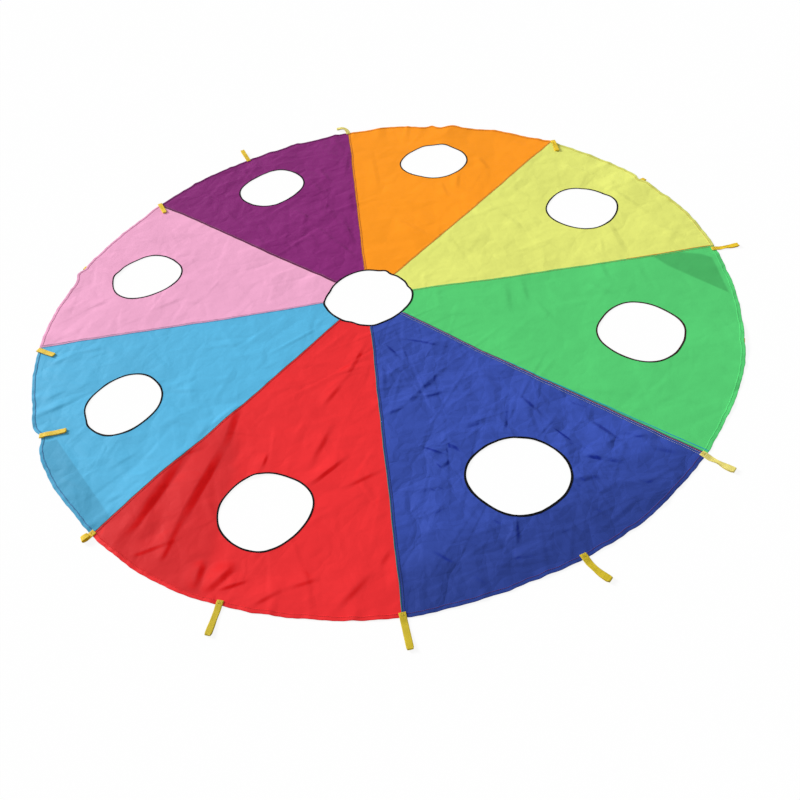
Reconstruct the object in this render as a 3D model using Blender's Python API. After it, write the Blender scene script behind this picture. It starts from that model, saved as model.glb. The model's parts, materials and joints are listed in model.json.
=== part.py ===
"""Play parachute: a round canopy of eight sewn cloth panels, lying flat on the floor.

Each panel is one closed solid: its thin cloth, the rolled hem along the rim and the felled seam
along both sides, which are the panel's own cloth folded over. A bias tape binds the round hole in
each panel, and two half rings of tape bind the hole in the middle. Sixteen webbing handles stand
round the rim, one at each seam and one halfway between. Each is a strap end stitched to the hem
and a grab loop that swings on it. The canopy folds in half along the seams that lie on the X axis:
everything with positive Y is the far half, and turns over onto the near half.

Metres, +Z up. The origin is the middle of the canopy, on the floor.
"""

import math

import bmesh
import bpy
from mathutils import Vector

MM = 0.001

# Canopy
CANOPY_RADIUS = 1500 * MM
CLOTH_THICKNESS = 1.0 * MM
HEM_WIDTH = 15 * MM
HEM_THICKNESS = 2.8 * MM
SEAM_WIDTH = 5 * MM
HEM_STEP = 0.6 * MM
GAP = 0.3 * MM

# Holes and the tape that binds them
HOLE_RADIUS = 156 * MM
HOLE_TO_RIM = 208 * MM
HOLE_RING_RADIUS = CANOPY_RADIUS - HOLE_TO_RIM - HOLE_RADIUS
CENTRE_HOLE_RADIUS = 175 * MM
TAPE_THICKNESS = 0.6 * MM
TAPE_WIDTH = 7 * MM
CENTRE_TAPE_WIDTH = 8.6 * MM
SEAM_END_STEP = 1.0 * MM

# Handles
WEBBING_WIDTH = 23 * MM
WEBBING_THICKNESS = 1.4 * MM
WEBBING_FOLD_GAP = 0.2 * MM
STRAP_END_LENGTH = 17 * MM
STRAP_END_PAST_RIM = 3 * MM
HINGE_PAST_RIM = 2.5 * MM
HANDLE_CLEARANCE = 0.4 * MM
HANDLE_REACH = 105 * MM
LEGS_PART_AT = 3 * MM
LOOP_OPENS_AT = 26 * MM
CURLED_REACH = 52 * MM
CURLED_OPENS_AT = 14 * MM
LEAST_BEND = math.radians(0.1)

# Where a handle is tucked under the rim, the panel rises over it
HUMP_FLAT_HALF_WIDTH = 16 * MM
HUMP_HALF_WIDTH = 50 * MM
HUMP_PAST_HANDLE = 13 * MM
HUMP_TO_TAPE = 36 * MM
HUMP_LENGTH = HANDLE_REACH + HUMP_PAST_HANDLE
HUMP_FOOT_LENGTH = HOLE_TO_RIM - TAPE_WIDTH - HUMP_TO_TAPE

PANEL_COUNT = 8
HOLE_SIDES = 24
PANEL_ANGLE = 2 * math.pi / PANEL_COUNT
HALF_PANEL = PANEL_ANGLE / 2
SIDE_ANGLE = 2 * math.pi / HOLE_SIDES

# Heights above the floor
CLOTH_BOTTOM = TAPE_THICKNESS + GAP
CLOTH_TOP = CLOTH_BOTTOM + CLOTH_THICKNESS
TAPE_TOP = CLOTH_TOP + GAP + TAPE_THICKNESS
STRAP_END_BOTTOM = HEM_THICKNESS + GAP
STRAP_END_TOP = STRAP_END_BOTTOM + WEBBING_THICKNESS
NOSE_RADIUS = WEBBING_THICKNESS + WEBBING_FOLD_GAP / 2
HINGE_HEIGHT = STRAP_END_TOP + HANDLE_CLEARANCE + NOSE_RADIUS
TUCKED_END_BOTTOM = HINGE_HEIGHT + NOSE_RADIUS + HANDLE_CLEARANCE
HUMP_HEIGHT = TUCKED_END_BOTTOM + WEBBING_THICKNESS + GAP
FOLD_AXIS_HEIGHT = 2 * HINGE_HEIGHT + GAP

# Places of samples along a panel's outline, as shares of the stretch that they divide
RIM_SHARES = (0.19, 0.32, 0.46, 0.60, 0.73, 0.85, 0.93, 1.0)
SEAM_SHARES = (0.2, 0.6)

# name, red, green, blue, half, whether a handle is tucked under the middle of its rim;
# the panels run anticlockwise from the one that starts at +Y
PANELS = (
    ("purple", 0.24, 0.03, 0.21, "far", False),
    ("pink", 0.87, 0.38, 0.60, "far", True),
    ("light_blue", 0.09, 0.46, 0.75, "near", False),
    ("red", 0.86, 0.04, 0.05, "near", False),
    ("blue", 0.03, 0.05, 0.35, "near", False),
    ("green", 0.09, 0.58, 0.16, "near", True),
    ("yellow", 0.73, 0.79, 0.16, "far", True),
    ("orange", 1.00, 0.30, 0.01, "far", True),
)
FIRST_SEAM = math.pi / 2

# name, place round the rim counted in half panels from +Y, anticlockwise; how it lies;
# how far its foot is moved along the rim, in webbing widths; how far the strap turns away
# from straight out, in degrees; how far it bends along its length, in degrees
HANDLES = (
    ("purple_orange", 0, "out", 0, 5, 105),
    ("purple", 1, "out", 0.33, -1, -6),
    ("pink_purple", 2, "in", 0, -22, 0),
    ("pink", 3, "under", 0, 0, 0),
    ("light_blue_pink", 4, "in", 0.76, -32, 0),
    ("light_blue", 5, "in", -1.1, -16, 0),
    ("red_light_blue", 6, "curled", 0, 0, 0),
    ("red", 7, "out", 0, 6, 0),
    ("blue_red", 8, "out", 0, 6, 0),
    ("blue", 9, "out", 0, -3, 30),
    ("green_blue", 10, "out", -0.33, -9, 14),
    ("green", 11, "under", 0, 0, 0),
    ("yellow_green", 12, "out", -0.87, -3, 9),
    ("yellow", 13, "under", 0, 0, 0),
    ("orange_yellow", 14, "in", -0.43, 44, 0),
    ("orange", 15, "under", 0, 0, 0),
)
NEAR_PLACES = range(4, 13)


def material(name, colour, roughness):
    """A plain cloth or tape finish."""
    made = bpy.data.materials.new(name)
    made.use_nodes = True
    shader = made.node_tree.nodes["Principled BSDF"]
    shader.inputs["Base Color"].default_value = (*colour, 1)
    shader.inputs["Roughness"].default_value = roughness
    shader.inputs["Metallic"].default_value = 0
    return made


def solid(name, points, faces, parent, finish):
    """One closed solid from its corners and faces, with its faces turned outwards."""
    mesh = bpy.data.meshes.new(name)
    mesh.from_pydata([tuple(p) for p in points], [], faces)
    work = bmesh.new()
    work.from_mesh(mesh)
    bmesh.ops.recalc_face_normals(work, faces=work.faces)
    work.to_mesh(mesh)
    work.free()
    mesh.materials.append(finish)
    made = bpy.data.objects.new(name, mesh)
    bpy.context.scene.collection.objects.link(made)
    made.parent = parent
    return made


def empty(name, location, parent=None, turn=0):
    """An axis or a frame that carries pieces. Its place is given in the row's own frame."""
    made = bpy.data.objects.new(name, None)
    bpy.context.scene.collection.objects.link(made)
    place = Vector(location)
    if parent is not None:
        place -= parent.location
    made.location = place
    made.rotation_euler = (0, 0, turn)
    made.parent = parent
    return made


def polar(radius, angle):
    """A point of the floor plan from its radius and angle."""
    return Vector((radius * math.cos(angle), radius * math.sin(angle)))


def inside_arc(radius, side_inset):
    """Half the angle of an arc about the canopy's middle that stops short of both seam lines."""
    return HALF_PANEL - math.asin(side_inset / radius)


def seam_point(along, side_inset, side):
    """A point beside a seam line, at a distance along it; side is 1 or -1."""
    line = polar(1, side * HALF_PANEL)
    inward = Vector((line.y, -line.x)) * side
    return line * along + inward * side_inset


def outline(rim_radius, side_inset, inner_radius):
    """A panel's outline in plan, anticlockwise from its right rim corner, inset by the same step
    all round as its radii and side inset say. Its middle line is the X axis."""
    tape_edge = CENTRE_HOLE_RADIUS + CENTRE_TAPE_WIDTH + GAP
    ridge_end = tape_edge + SEAM_END_STEP
    flat = HUMP_FLAT_HALF_WIDTH / CANOPY_RADIUS / HALF_PANEL
    foot = HUMP_HALF_WIDTH / CANOPY_RADIUS / HALF_PANEL
    shares = (flat, foot, *RIM_SHARES)
    shares = [-s for s in reversed(shares)] + list(shares)
    along = [ridge_end + s * (CANOPY_RADIUS - ridge_end) for s in SEAM_SHARES]
    along = [tape_edge, ridge_end, *along]
    reach = inside_arc(rim_radius, side_inset)
    rim = [polar(rim_radius, s * reach) for s in shares]
    left = [seam_point(a, side_inset, 1) for a in reversed(along)]
    reach = inside_arc(inner_radius, side_inset)
    middle = SIDE_ANGLE / 2
    inner = [polar(inner_radius, a) for a in (reach, middle, -middle, -reach)]
    right = [seam_point(a, side_inset, -1) for a in along]
    return rim + left + inner + right


def ridge_flags():
    """Which points of an outline carry the hem or the seam, and not the thin inner edge."""
    rim = 2 * (len(RIM_SHARES) + 2)
    side = len(SEAM_SHARES) + 1
    return [True] * (rim + side) + [False] * 6 + [True] * side


def hump_shares(tucked):
    """How far the panel rises at each point of its outline, as a share of the hump's height."""
    rim = 2 * (len(RIM_SHARES) + 2)
    rest = len(ridge_flags()) - rim
    across = [0] * rim
    if tucked:
        across[rim // 2 - 1] = across[rim // 2] = 1
    return across + [0] * rest


def zip_rings(inner, outer, centre, first_inner, first_outer):
    """Triangles between two rings of points that both run round the centre."""

    def angles(ring):
        found = [math.atan2(p.y - centre.y, p.x - centre.x) for p in ring]
        start = min(range(len(found)), key=lambda i: found[i])
        return start, found

    start_in, angle_in = angles(inner)
    start_out, angle_out = angles(outer)
    count_in, count_out = len(inner), len(outer)
    faces = []
    i = o = 0
    while i < count_in or o < count_out:
        a = (start_in + i) % count_in
        b = (start_out + o) % count_out
        next_a = (start_in + i + 1) % count_in
        next_b = (start_out + o + 1) % count_out
        turn_a = angle_in[next_a] + (2 * math.pi if i + 1 >= count_in else 0)
        turn_b = angle_out[next_b] + (2 * math.pi if o + 1 >= count_out else 0)
        if o >= count_out or (i < count_in and turn_a < turn_b):
            faces.append((first_inner + a, first_outer + b, first_inner + next_a))
            i += 1
        else:
            faces.append((first_inner + a, first_outer + b, first_outer + next_b))
            o += 1
    return faces


def ring_faces(first, second, count):
    """Quads between two rings with the same number of points."""
    return [
        (first + i, first + (i + 1) % count, second + (i + 1) % count, second + i)
        for i in range(count)
    ]


def hole_points(radius):
    """The corners of a panel's round hole, or of the tape round it."""
    middle = Vector((HOLE_RING_RADIUS, 0))
    return [middle + polar(radius, i * SIDE_ANGLE) for i in range(HOLE_SIDES)]


def panel(name, finish, parent, tucked):
    """One panel: thin cloth from the hole to the hem and seams, which are its cloth folded over."""
    hole = hole_points(HOLE_RADIUS + TAPE_THICKNESS + GAP)
    centre = Vector((HOLE_RING_RADIUS, 0))
    inner_edge = CENTRE_HOLE_RADIUS + TAPE_THICKNESS + GAP
    foot_radius = inner_edge + HEM_STEP + GAP
    step = HEM_STEP
    foot = outline(CANOPY_RADIUS - HEM_WIDTH, SEAM_WIDTH, foot_radius + step)
    crest = outline(CANOPY_RADIUS - HEM_WIDTH + step, SEAM_WIDTH - step, foot_radius)
    edge = outline(CANOPY_RADIUS, GAP / 2, inner_edge)
    ridges = ridge_flags()
    rises = [s * HUMP_HEIGHT for s in hump_shares(tucked)]
    count = len(edge)

    hump_rings = []
    if tucked:
        span = HOLE_TO_RIM - HEM_WIDTH
        for length, share in ((HUMP_FOOT_LENGTH, 0), (HUMP_LENGTH, 1)):
            back = (length - HEM_WIDTH) / span
            near_hole = [centre + (p - centre).normalized() * HOLE_RADIUS for p in foot]
            ring = [p.lerp(q, back) for p, q in zip(foot, near_hole)]
            hump_rings.append((ring, [r * share for r in rises]))

    points, faces = [], []

    def add_ring(ring, heights):
        first = len(points)
        points.extend((p.x, p.y, z) for p, z in zip(ring, heights))
        return first

    def cloth_side(base, ridge_height):
        """The rings of one face of the panel, from the hole out to the rim."""
        firsts = [add_ring(hole, [base] * HOLE_SIDES)]
        rings = [hole]
        for ring, lifts in hump_rings:
            firsts.append(add_ring(ring, [base + lift for lift in lifts]))
            rings.append(ring)
        firsts.append(add_ring(foot, [base + lift for lift in rises]))
        rings.append(foot)
        for ring in (crest, edge):
            heights = [
                (ridge_height if ridge else base) + lift
                for ridge, lift in zip(ridges, rises)
            ]
            firsts.append(add_ring(ring, heights))
            rings.append(ring)
        faces.extend(zip_rings(hole, rings[1], centre, firsts[0], firsts[1]))
        for a, b in zip(firsts[1:], firsts[2:]):
            faces.extend(ring_faces(a, b, count))
        return firsts[0], firsts[-1]

    top_hole, top_edge = cloth_side(CLOTH_TOP, HEM_THICKNESS)
    low_hole, low_edge = cloth_side(CLOTH_BOTTOM, 0)
    faces.extend(ring_faces(top_edge, low_edge, count))
    faces.extend(ring_faces(top_hole, low_hole, HOLE_SIDES))
    return solid(name, points, faces, parent, finish)


def tape_profile(radius, width):
    """The section of a bias tape folded round a cut edge, open away from the hole."""
    wall = radius + TAPE_THICKNESS
    outer = radius + width
    return (
        (radius, 0),
        (outer, 0),
        (outer, TAPE_THICKNESS),
        (wall, TAPE_THICKNESS),
        (wall, TAPE_TOP - TAPE_THICKNESS),
        (outer, TAPE_TOP - TAPE_THICKNESS),
        (outer, TAPE_TOP),
        (radius, TAPE_TOP),
    )


def hole_tape(name, finish, parent):
    """The closed ring of tape round a panel's hole."""
    profile = tape_profile(HOLE_RADIUS, TAPE_WIDTH)
    rings = []
    points = []
    for radius, height in profile:
        rings.append(len(points))
        points.extend((p.x, p.y, height) for p in hole_points(radius))
    faces = []
    for a, b in zip(rings, rings[1:] + rings[:1]):
        faces.extend(ring_faces(a, b, HOLE_SIDES))
    return solid(name, points, faces, parent, finish)


def centre_tape(name, finish, parent, start):
    """Half of the tape round the middle hole, from the angle start to half a turn on."""
    profile = tape_profile(CENTRE_HOLE_RADIUS, CENTRE_TAPE_WIDTH)
    sections = HOLE_SIDES // 2
    points = []
    for i in range(sections + 1):
        for radius, height in profile:
            trim = math.asin(GAP / 2 / radius)
            angle = start + i * SIDE_ANGLE
            if i == 0:
                angle += trim
            if i == sections:
                angle -= trim
            p = polar(radius, angle)
            points.append((p.x, p.y, height))
    count = len(profile)
    faces = []
    for i in range(sections):
        faces.extend(ring_faces(i * count, (i + 1) * count, count))
    # the two ends are the tape's section: its wall and its two flanges
    for first in (0, sections * count):
        faces.append(tuple(first + k for k in (0, 1, 2, 3)))
        faces.append(tuple(first + k for k in (0, 3, 4, 7)))
        faces.append(tuple(first + k for k in (4, 5, 6, 7)))
    return solid(name, points, faces, parent, finish)


def strap_path(reach, opens_at):
    """The middle line of the folded strap seen from the side: distance out from the hinge, and
    height above it. It runs from the nose along the top, round the end and back along the floor."""
    half = WEBBING_THICKNESS / 2
    bend = NOSE_RADIUS - half
    floor = half - HINGE_HEIGHT
    end_radius = (bend - floor) / 2
    end_middle = (bend + floor) / 2
    straight = reach - half - end_radius
    thirds = [opens_at + k / 3 * (straight - opens_at) for k in (1, 2)]
    top = [(0, bend), (opens_at, bend)] + [(x, bend) for x in thirds] + [(straight, bend)]
    turn = [
        (straight + end_radius * math.cos(a), end_middle + end_radius * math.sin(a))
        for a in (math.pi / 4, 0, -math.pi / 4)
    ]
    back = [(straight, floor)] + [(x, floor) for x in reversed(thirds)]
    back += [(opens_at, floor), (LEGS_PART_AT, -bend), (0, -bend)]
    nose = [
        (bend * math.cos(a), bend * math.sin(a))
        for a in (math.pi * 5 / 4, math.pi, math.pi * 3 / 4)
    ]
    return top + turn + back + nose


def bent_plan(distance, aside, reach, bend):
    """A point of a strap that bends steadily in plan, from its distance along and aside."""
    if abs(bend) < LEAST_BEND or distance <= 0:
        return distance, aside
    radius = reach / bend
    angle = distance / radius
    x = radius * math.sin(angle)
    y = radius * (1 - math.cos(angle))
    return x - aside * math.sin(angle), y + aside * math.cos(angle)


def grab_loop(name, finish, hinge, reach, opens_at, bend, way):
    """A strap folded into a loop. way is 1 where it lies out from its hinge with its feet on the
    floor, and -1 where it is the mirror of that."""
    path = strap_path(reach, opens_at)
    count = len(path)
    half = WEBBING_THICKNESS / 2
    points = []
    for i, (x, z) in enumerate(path):
        before, after = path[i - 1], path[(i + 1) % count]
        first = Vector((x - before[0], z - before[1])).normalized()
        second = Vector((after[0] - x, after[1] - z)).normalized()
        along = (first + second).normalized()
        out = Vector((-along.y, along.x)) * half / max(along.dot(first), half / NOSE_RADIUS)
        for side in (1, -1):
            for aside in (-WEBBING_WIDTH / 2, WEBBING_WIDTH / 2):
                px, py = bent_plan(x + side * out.x, aside, reach, bend)
                points.append((way * px, py, z + side * out.y))
    faces = []
    for i in range(count):
        a, b = 4 * i, 4 * ((i + 1) % count)
        for p, q in ((0, 1), (1, 3), (3, 2), (2, 0)):
            faces.append((a + p, a + q, b + q, b + p))
    return solid(name, points, faces, hinge, finish)


def strap_end(name, finish, foot, bottom):
    """The flat strap end that is stitched to the hem, past its edge by a little."""
    low, high = -STRAP_END_LENGTH, STRAP_END_PAST_RIM
    half = WEBBING_WIDTH / 2
    points = [
        (x, y, z)
        for z in (bottom, bottom + WEBBING_THICKNESS)
        for x, y in ((low, -half), (high, -half), (high, half), (low, half))
    ]
    faces = [(0, 1, 2, 3), (4, 5, 6, 7)]
    faces += [(i, (i + 1) % 4, 4 + (i + 1) % 4, 4 + i) for i in range(4)]
    return solid(name, points, faces, foot, finish)


def handle(name, place, lie, moved, yaw, bend, half, finish):
    """One handle: its strap end, fixed to a half of the canopy, and its loop on its hinge."""
    angle = FIRST_SEAM + place * HALF_PANEL + moved * WEBBING_WIDTH / CANOPY_RADIUS
    heading = angle + math.radians(yaw)
    rim = polar(CANOPY_RADIUS, angle)
    foot = empty(f"foot_{name}", (rim.x, rim.y, 0), half, heading)
    bottom = TUCKED_END_BOTTOM if lie == "under" else STRAP_END_BOTTOM
    strap_end(f"strap_end_{name}", finish, foot, bottom)
    pivot = rim + polar(HINGE_PAST_RIM, heading)
    hinge = empty(f"hinge_{name}", (pivot.x, pivot.y, HINGE_HEIGHT), half, heading)
    if lie == "in":
        hinge.rotation_euler = (0, math.pi, heading)
    reach = CURLED_REACH if lie == "curled" else HANDLE_REACH
    opens_at = CURLED_OPENS_AT if lie == "curled" else LOOP_OPENS_AT
    way = -1 if lie == "under" else 1
    grab_loop(f"handle_{name}", finish, hinge, reach, opens_at, math.radians(bend), way)


def build():
    for old in list(bpy.data.objects):
        bpy.data.objects.remove(old)
    halves = {
        "near": empty("near_half", (0, 0, 0)),
        "far": empty("fold_in_half", (0, 0, FOLD_AXIS_HEIGHT)),
    }
    binding = material("binding_tape", (0.01, 0.01, 0.012), 0.75)
    webbing = material("webbing", (0.62, 0.44, 0.03), 0.8)
    for i, (name, red, green, blue, half, tucked) in enumerate(PANELS):
        middle = FIRST_SEAM + (i + 0.5) * PANEL_ANGLE
        frame = empty(f"frame_{name}", (0, 0, 0), halves[half], middle)
        cloth = material(f"cloth_{name}", (red, green, blue), 0.55)
        panel(f"panel_{name}", cloth, frame, tucked)
        hole_tape(f"hole_binding_{name}", binding, frame)
    for half, start in (("far", 0), ("near", math.pi)):
        frame = empty(f"centre_{half}", (0, 0, 0), halves[half])
        centre_tape(f"centre_binding_{half}", binding, frame, start)
    for name, place, lie, moved, yaw, bend in HANDLES:
        half = halves["near" if place in NEAR_PLACES else "far"]
        handle(name, place, lie, moved, yaw, bend, half, webbing)


build()
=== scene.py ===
"""Play parachute: the looks of a round canopy of eight sewn taffeta panels, spread on the floor.

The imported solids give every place. Each section makes one kind of piece: its sizes, mesh, finish
and what it moves with. Lengths are metres; MM turns a size in millimetres into metres.
"""

import json
import math

import bpy
import mathutils
import numpy as np
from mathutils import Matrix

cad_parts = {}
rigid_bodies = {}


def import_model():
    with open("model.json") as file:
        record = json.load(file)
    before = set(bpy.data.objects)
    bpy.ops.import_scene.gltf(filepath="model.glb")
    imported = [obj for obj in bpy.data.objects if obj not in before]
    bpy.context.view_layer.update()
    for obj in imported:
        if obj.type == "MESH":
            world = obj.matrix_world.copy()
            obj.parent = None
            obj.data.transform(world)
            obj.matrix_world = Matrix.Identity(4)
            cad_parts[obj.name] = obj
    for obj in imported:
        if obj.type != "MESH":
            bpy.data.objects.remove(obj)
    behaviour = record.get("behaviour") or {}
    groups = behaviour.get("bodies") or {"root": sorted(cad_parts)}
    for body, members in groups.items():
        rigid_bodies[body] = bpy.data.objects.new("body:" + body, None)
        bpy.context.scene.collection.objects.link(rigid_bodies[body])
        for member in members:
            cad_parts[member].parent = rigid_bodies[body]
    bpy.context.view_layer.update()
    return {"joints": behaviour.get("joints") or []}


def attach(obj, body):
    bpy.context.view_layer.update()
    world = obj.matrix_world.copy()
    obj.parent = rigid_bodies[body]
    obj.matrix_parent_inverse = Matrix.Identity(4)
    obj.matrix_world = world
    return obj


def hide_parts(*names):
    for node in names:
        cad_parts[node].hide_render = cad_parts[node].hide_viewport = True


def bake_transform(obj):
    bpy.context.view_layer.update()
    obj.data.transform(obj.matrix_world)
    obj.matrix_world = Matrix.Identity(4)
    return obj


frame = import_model()

# The camera stands where the photograph was taken, a little over head height beside the blue and
# red panels, and is rolled. Its place comes from the round rim and the holes; the picture is a
# crop, so its middle is shifted.
MM = 0.001
PICTURE_PX = 800
FOCAL_PX = 732.26
CROP_PX = -47.59
SENSOR_MM = 36
CAMERA_PLACE = np.array((0.0800, -2.5143, 2.0698))
CAMERA_AZIMUTH = math.radians(5.389)
CAMERA_ELEVATION = math.radians(46.986)
CAMERA_ROLL = math.radians(-11.95)

level, tilt = math.cos(CAMERA_ELEVATION), math.sin(CAMERA_ELEVATION)
back = np.array((math.sin(CAMERA_AZIMUTH) * level, -math.cos(CAMERA_AZIMUTH) * level, tilt))
flat_right = np.cross(-back, (0, 0, 1))
flat_right /= np.linalg.norm(flat_right)
steep_up = np.cross(flat_right, -back)
right = math.cos(CAMERA_ROLL) * flat_right + math.sin(CAMERA_ROLL) * steep_up
up = math.cos(CAMERA_ROLL) * steep_up - math.sin(CAMERA_ROLL) * flat_right


def on_floor(px, py):
    """The floor point that a pixel of the photograph shows: its ray, followed down to height 0."""
    ray = -back + right * (px - PICTURE_PX / 2 - CROP_PX) / FOCAL_PX - up * (py - PICTURE_PX / 2) / FOCAL_PX
    return (CAMERA_PLACE - ray * CAMERA_PLACE[2] / ray[2])[:2]


lens = bpy.data.cameras.new("photo_camera")
lens.sensor_width = SENSOR_MM
lens.lens = SENSOR_MM * FOCAL_PX / PICTURE_PX
lens.shift_x = -CROP_PX / PICTURE_PX
camera = bpy.data.objects.new("photo_camera", lens)
camera.matrix_world = mathutils.Matrix([
    [right[0], up[0], back[0], CAMERA_PLACE[0]],
    [right[1], up[1], back[1], CAMERA_PLACE[1]],
    [right[2], up[2], back[2], CAMERA_PLACE[2]],
    [0, 0, 0, 1],
])
bpy.context.scene.collection.objects.link(camera)
bpy.context.scene.camera = camera
bpy.context.scene.view_settings.view_transform = "Standard"

# A white paper floor under plain soft light: one broad far lamp, low from the back left, so that
# creases show, and an even sky. The camera sees the paper as white, and it keeps the shadows.
FLOOR_SIZE = 60
PAPER = (0.95, 0.95, 0.95, 1)
PAPER_GLOW = 0.88
PAPER_ROUGHNESS = 0.9
SKY_STRENGTH = 0.5
LAMP_AZIMUTH = math.radians(142)
LAMP_ELEVATION = math.radians(23)
LAMP_SPREAD = math.radians(16)
LAMP_STRENGTH = 4.1


def link(tree, start, end):
    """Joins two sockets, each given as (node, socket name or number)."""
    tree.links.new(start[0].outputs[start[1]], end[0].inputs[end[1]])


def node(tree, kind, **values):
    """A shader node. A value whose name is an input's sets that input, or is linked to it where it
    is a socket pair, and other values set the node itself."""
    made = tree.nodes.new("ShaderNode" + kind)
    for name, value in values.items():
        label = name.replace("_", " ")
        if label not in made.inputs:
            setattr(made, name, value)
        elif isinstance(value, tuple) and isinstance(value[0], bpy.types.Node):
            link(tree, value, (made, label))
        else:
            made.inputs[label].default_value = value
    return made


def mathed(tree, operation, *values):
    """A Math node on values that are socket pairs or numbers."""
    made = node(tree, "Math", operation=operation)
    for k, value in enumerate(values):
        if isinstance(value, tuple):
            link(tree, value, (made, k))
        else:
            made.inputs[k].default_value = value
    return made, 0


def blended(tree, share, first, second, output):
    """Blends two shaders by a share, into the output node of that name."""
    made = node(tree, "MixShader")
    for k, start in enumerate((share, first, second)):
        link(tree, start, (made, k))
    link(tree, (made, 0), (tree.nodes[output], "Surface"))


def seen_directly(tree):
    """1 for what the camera sees, straight, in a gloss or through something, and 0 for other rays."""
    path = node(tree, "LightPath")
    straight = mathed(tree, "MAXIMUM", (path, "Is Camera Ray"), (path, "Is Glossy Ray"))
    return mathed(tree, "MAXIMUM", straight, (path, "Is Transmission Ray"))


def new_finish(name, roughness, specular):
    """A new material, its node tree and its shader, as rough and shiny as given."""
    made = bpy.data.materials.new(name)
    made.use_nodes = True
    shader = made.node_tree.nodes["Principled BSDF"]
    shader.inputs["Roughness"].default_value = roughness
    shader.inputs["Specular IOR Level"].default_value = specular
    return made, made.node_tree, shader


floor_mesh = bpy.data.meshes.new("floor")
reach = FLOOR_SIZE / 2
floor_mesh.from_pydata([(-reach, -reach, 0), (reach, -reach, 0), (reach, reach, 0), (-reach, reach, 0)],
                       [], [(0, 1, 2, 3)])
floor = bpy.data.objects.new("floor", floor_mesh)
bpy.context.scene.collection.objects.link(floor)
paper, tree, shader = new_finish("white_paper", PAPER_ROUGHNESS, 0)
shader.inputs["Base Color"].default_value = PAPER
share = mathed(tree, "MULTIPLY", seen_directly(tree), PAPER_GLOW)
blended(tree, share, (shader, 0), (node(tree, "Emission"), 0), "Material Output")
floor_mesh.materials.append(paper)

world = bpy.data.worlds.new("soft_sky")
world.use_nodes = True
tree = world.node_tree
sky = tree.nodes["Background"]
sky.inputs["Strength"].default_value = SKY_STRENGTH
sky.inputs["Color"].default_value = (1, 1, 1, 1)
white = node(tree, "Background", Color=(1, 1, 1, 1))
blended(tree, seen_directly(tree), (sky, 0), (white, 0), "World Output")
bpy.context.scene.world = world

lamp_data = bpy.data.lights.new("far_lamp", "SUN")
lamp_data.angle = LAMP_SPREAD
lamp_data.energy = LAMP_STRENGTH
lamp = bpy.data.objects.new("far_lamp", lamp_data)
lamp.rotation_euler = (math.pi / 2 - LAMP_ELEVATION, 0, LAMP_AZIMUTH + math.pi / 2)
bpy.context.scene.collection.objects.link(lamp)

# How the whole canopy lies. Thin cloth that was packed small keeps its creases and never lies as
# a true circle: the rim runs in and out, each hole is pulled oval, and the middle hole has slid
# back. Every piece takes its place in plan from settle() and its height from lie().
RIM = 1500 * MM
PANEL_NAMES = ("purple", "pink", "light_blue", "red", "blue", "green", "yellow", "orange")
PANEL_TURN = 2 * math.pi / len(PANEL_NAMES)
FIRST_SEAM = math.pi / 2
HOLE_RING = 1136 * MM
HOLE_EDGE = 156 * MM
MIDDLE_HOLE_EDGE = 175 * MM
MIDDLE_SLIDES = np.array((2, 11)) * MM
MIDDLE_SLIDE_REACH = 500 * MM
# angle round the rim in degrees, how far the rim runs out in mm, half width in degrees
RIM_RUNS = (
    (90, -9, 62), (10, 4, 6), (18, -4, 3), (23, -16, 1.1), (38, -7, 6), (45, 6, 1.5), (50, -9, 3),
    (57, 5, 1.6), (63, -6, 3), (66.6, 14, 1.4), (69.4, -12, 1.2), (71.5, 12, 0.7), (73.6, -10, 1.1),
    (80, 17, 4.5), (91.5, 13, 4), (102.5, 17, 1.8), (111, 5, 4), (124, 5, 4), (139, -12, 6),
    (136.5, 9, 2.5), (158, -7, 1), (160, 18, 1.6), (163, -9, 2.5), (167, -6, 3), (181, -1, 5),
    (195, -10, 4), (202, -27, 2.2), (209, -6, 4), (220, -9, 5), (243, 7, 9),
    (268, 6, 8), (285, -6, 4), (301, 4, 5), (332, 8, 7), (337.5, -3, 1.5), (346, -4, 6), (354, -5, 4),
)
# small waves of the rim besides: how many to a radian, mm in or out, and the seed
RIM_WAVES = ((24, 1.6, 11), (41, 2, 10))
RIM_RUN_DEPTH = 330 * MM
# where the rim has slid along itself: the angle, mm anticlockwise, half width in degrees
RIM_SLIDES = ((112, 9, 6), (136, 15, 8), (157.5, 18, 2), (179, 6, 8), (201, 17, 6), (225, 2, 5),
              (293, -1, 6), (359, 4, 6))
# how each hole is pulled out of round, in mm, against the angle from its outward side: how much
# it grows, then how it goes with the cosine and sine of 1, 2, 3 and 4 times that angle
HOLE_PULLS = {
    "purple": (12, -6, 11, -5, -3, -1, -2, -2, -4), "pink": (6, -3, 25, 3, 2, -4, 0, 2, 1),
    "light_blue": (4, -6, 3, 2, 4, 1, -1, -1, -3), "red": (5, 3, -1, -4, -2, 3, 1, -1, 3),
    "blue": (8, -4, 9, -4, 5, 1, -2, -2, -3), "green": (5, -1, -8, -4, -3, -1, 0, 1, 5),
    "yellow": (2, -3, -11, -6, 1, 0, 0, 1, -5), "orange": (10, -1, -3, -6, 3, 4, 0, 1, 3),
    "middle": (8, 3, -3, 2, -6, 1, -2, 4, 1),
}
# bumps of the middle hole's edge besides: angle in degrees, mm out, half width in degrees
MIDDLE_RUNS = ((10, -8, 8), (38, 4, 8), (60, 11, 7), (157, -6, 9), (182, 6, 8), (243, -7, 9), (274, 5, 8))
HOLE_PULL_REACH = 130 * MM
SEAMS_WANDER = 3.5 * MM
# the noise that the cloth wanders by: its cell in metres, its share, and its first seed
WANDERS = ((0.23, 1, 12), (0.075, 0.4, 14))
LATTICE = 64
NOISE_GAIN = 1.5


def eased(t, crisp=0.0):
    """0 below 0, 1 above 1, and a smooth S curve between. crisp is the share of a straight line."""
    t = np.clip(t, 0, 1)
    return crisp * t + (1 - crisp) * t * t * (3 - 2 * t)


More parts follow.
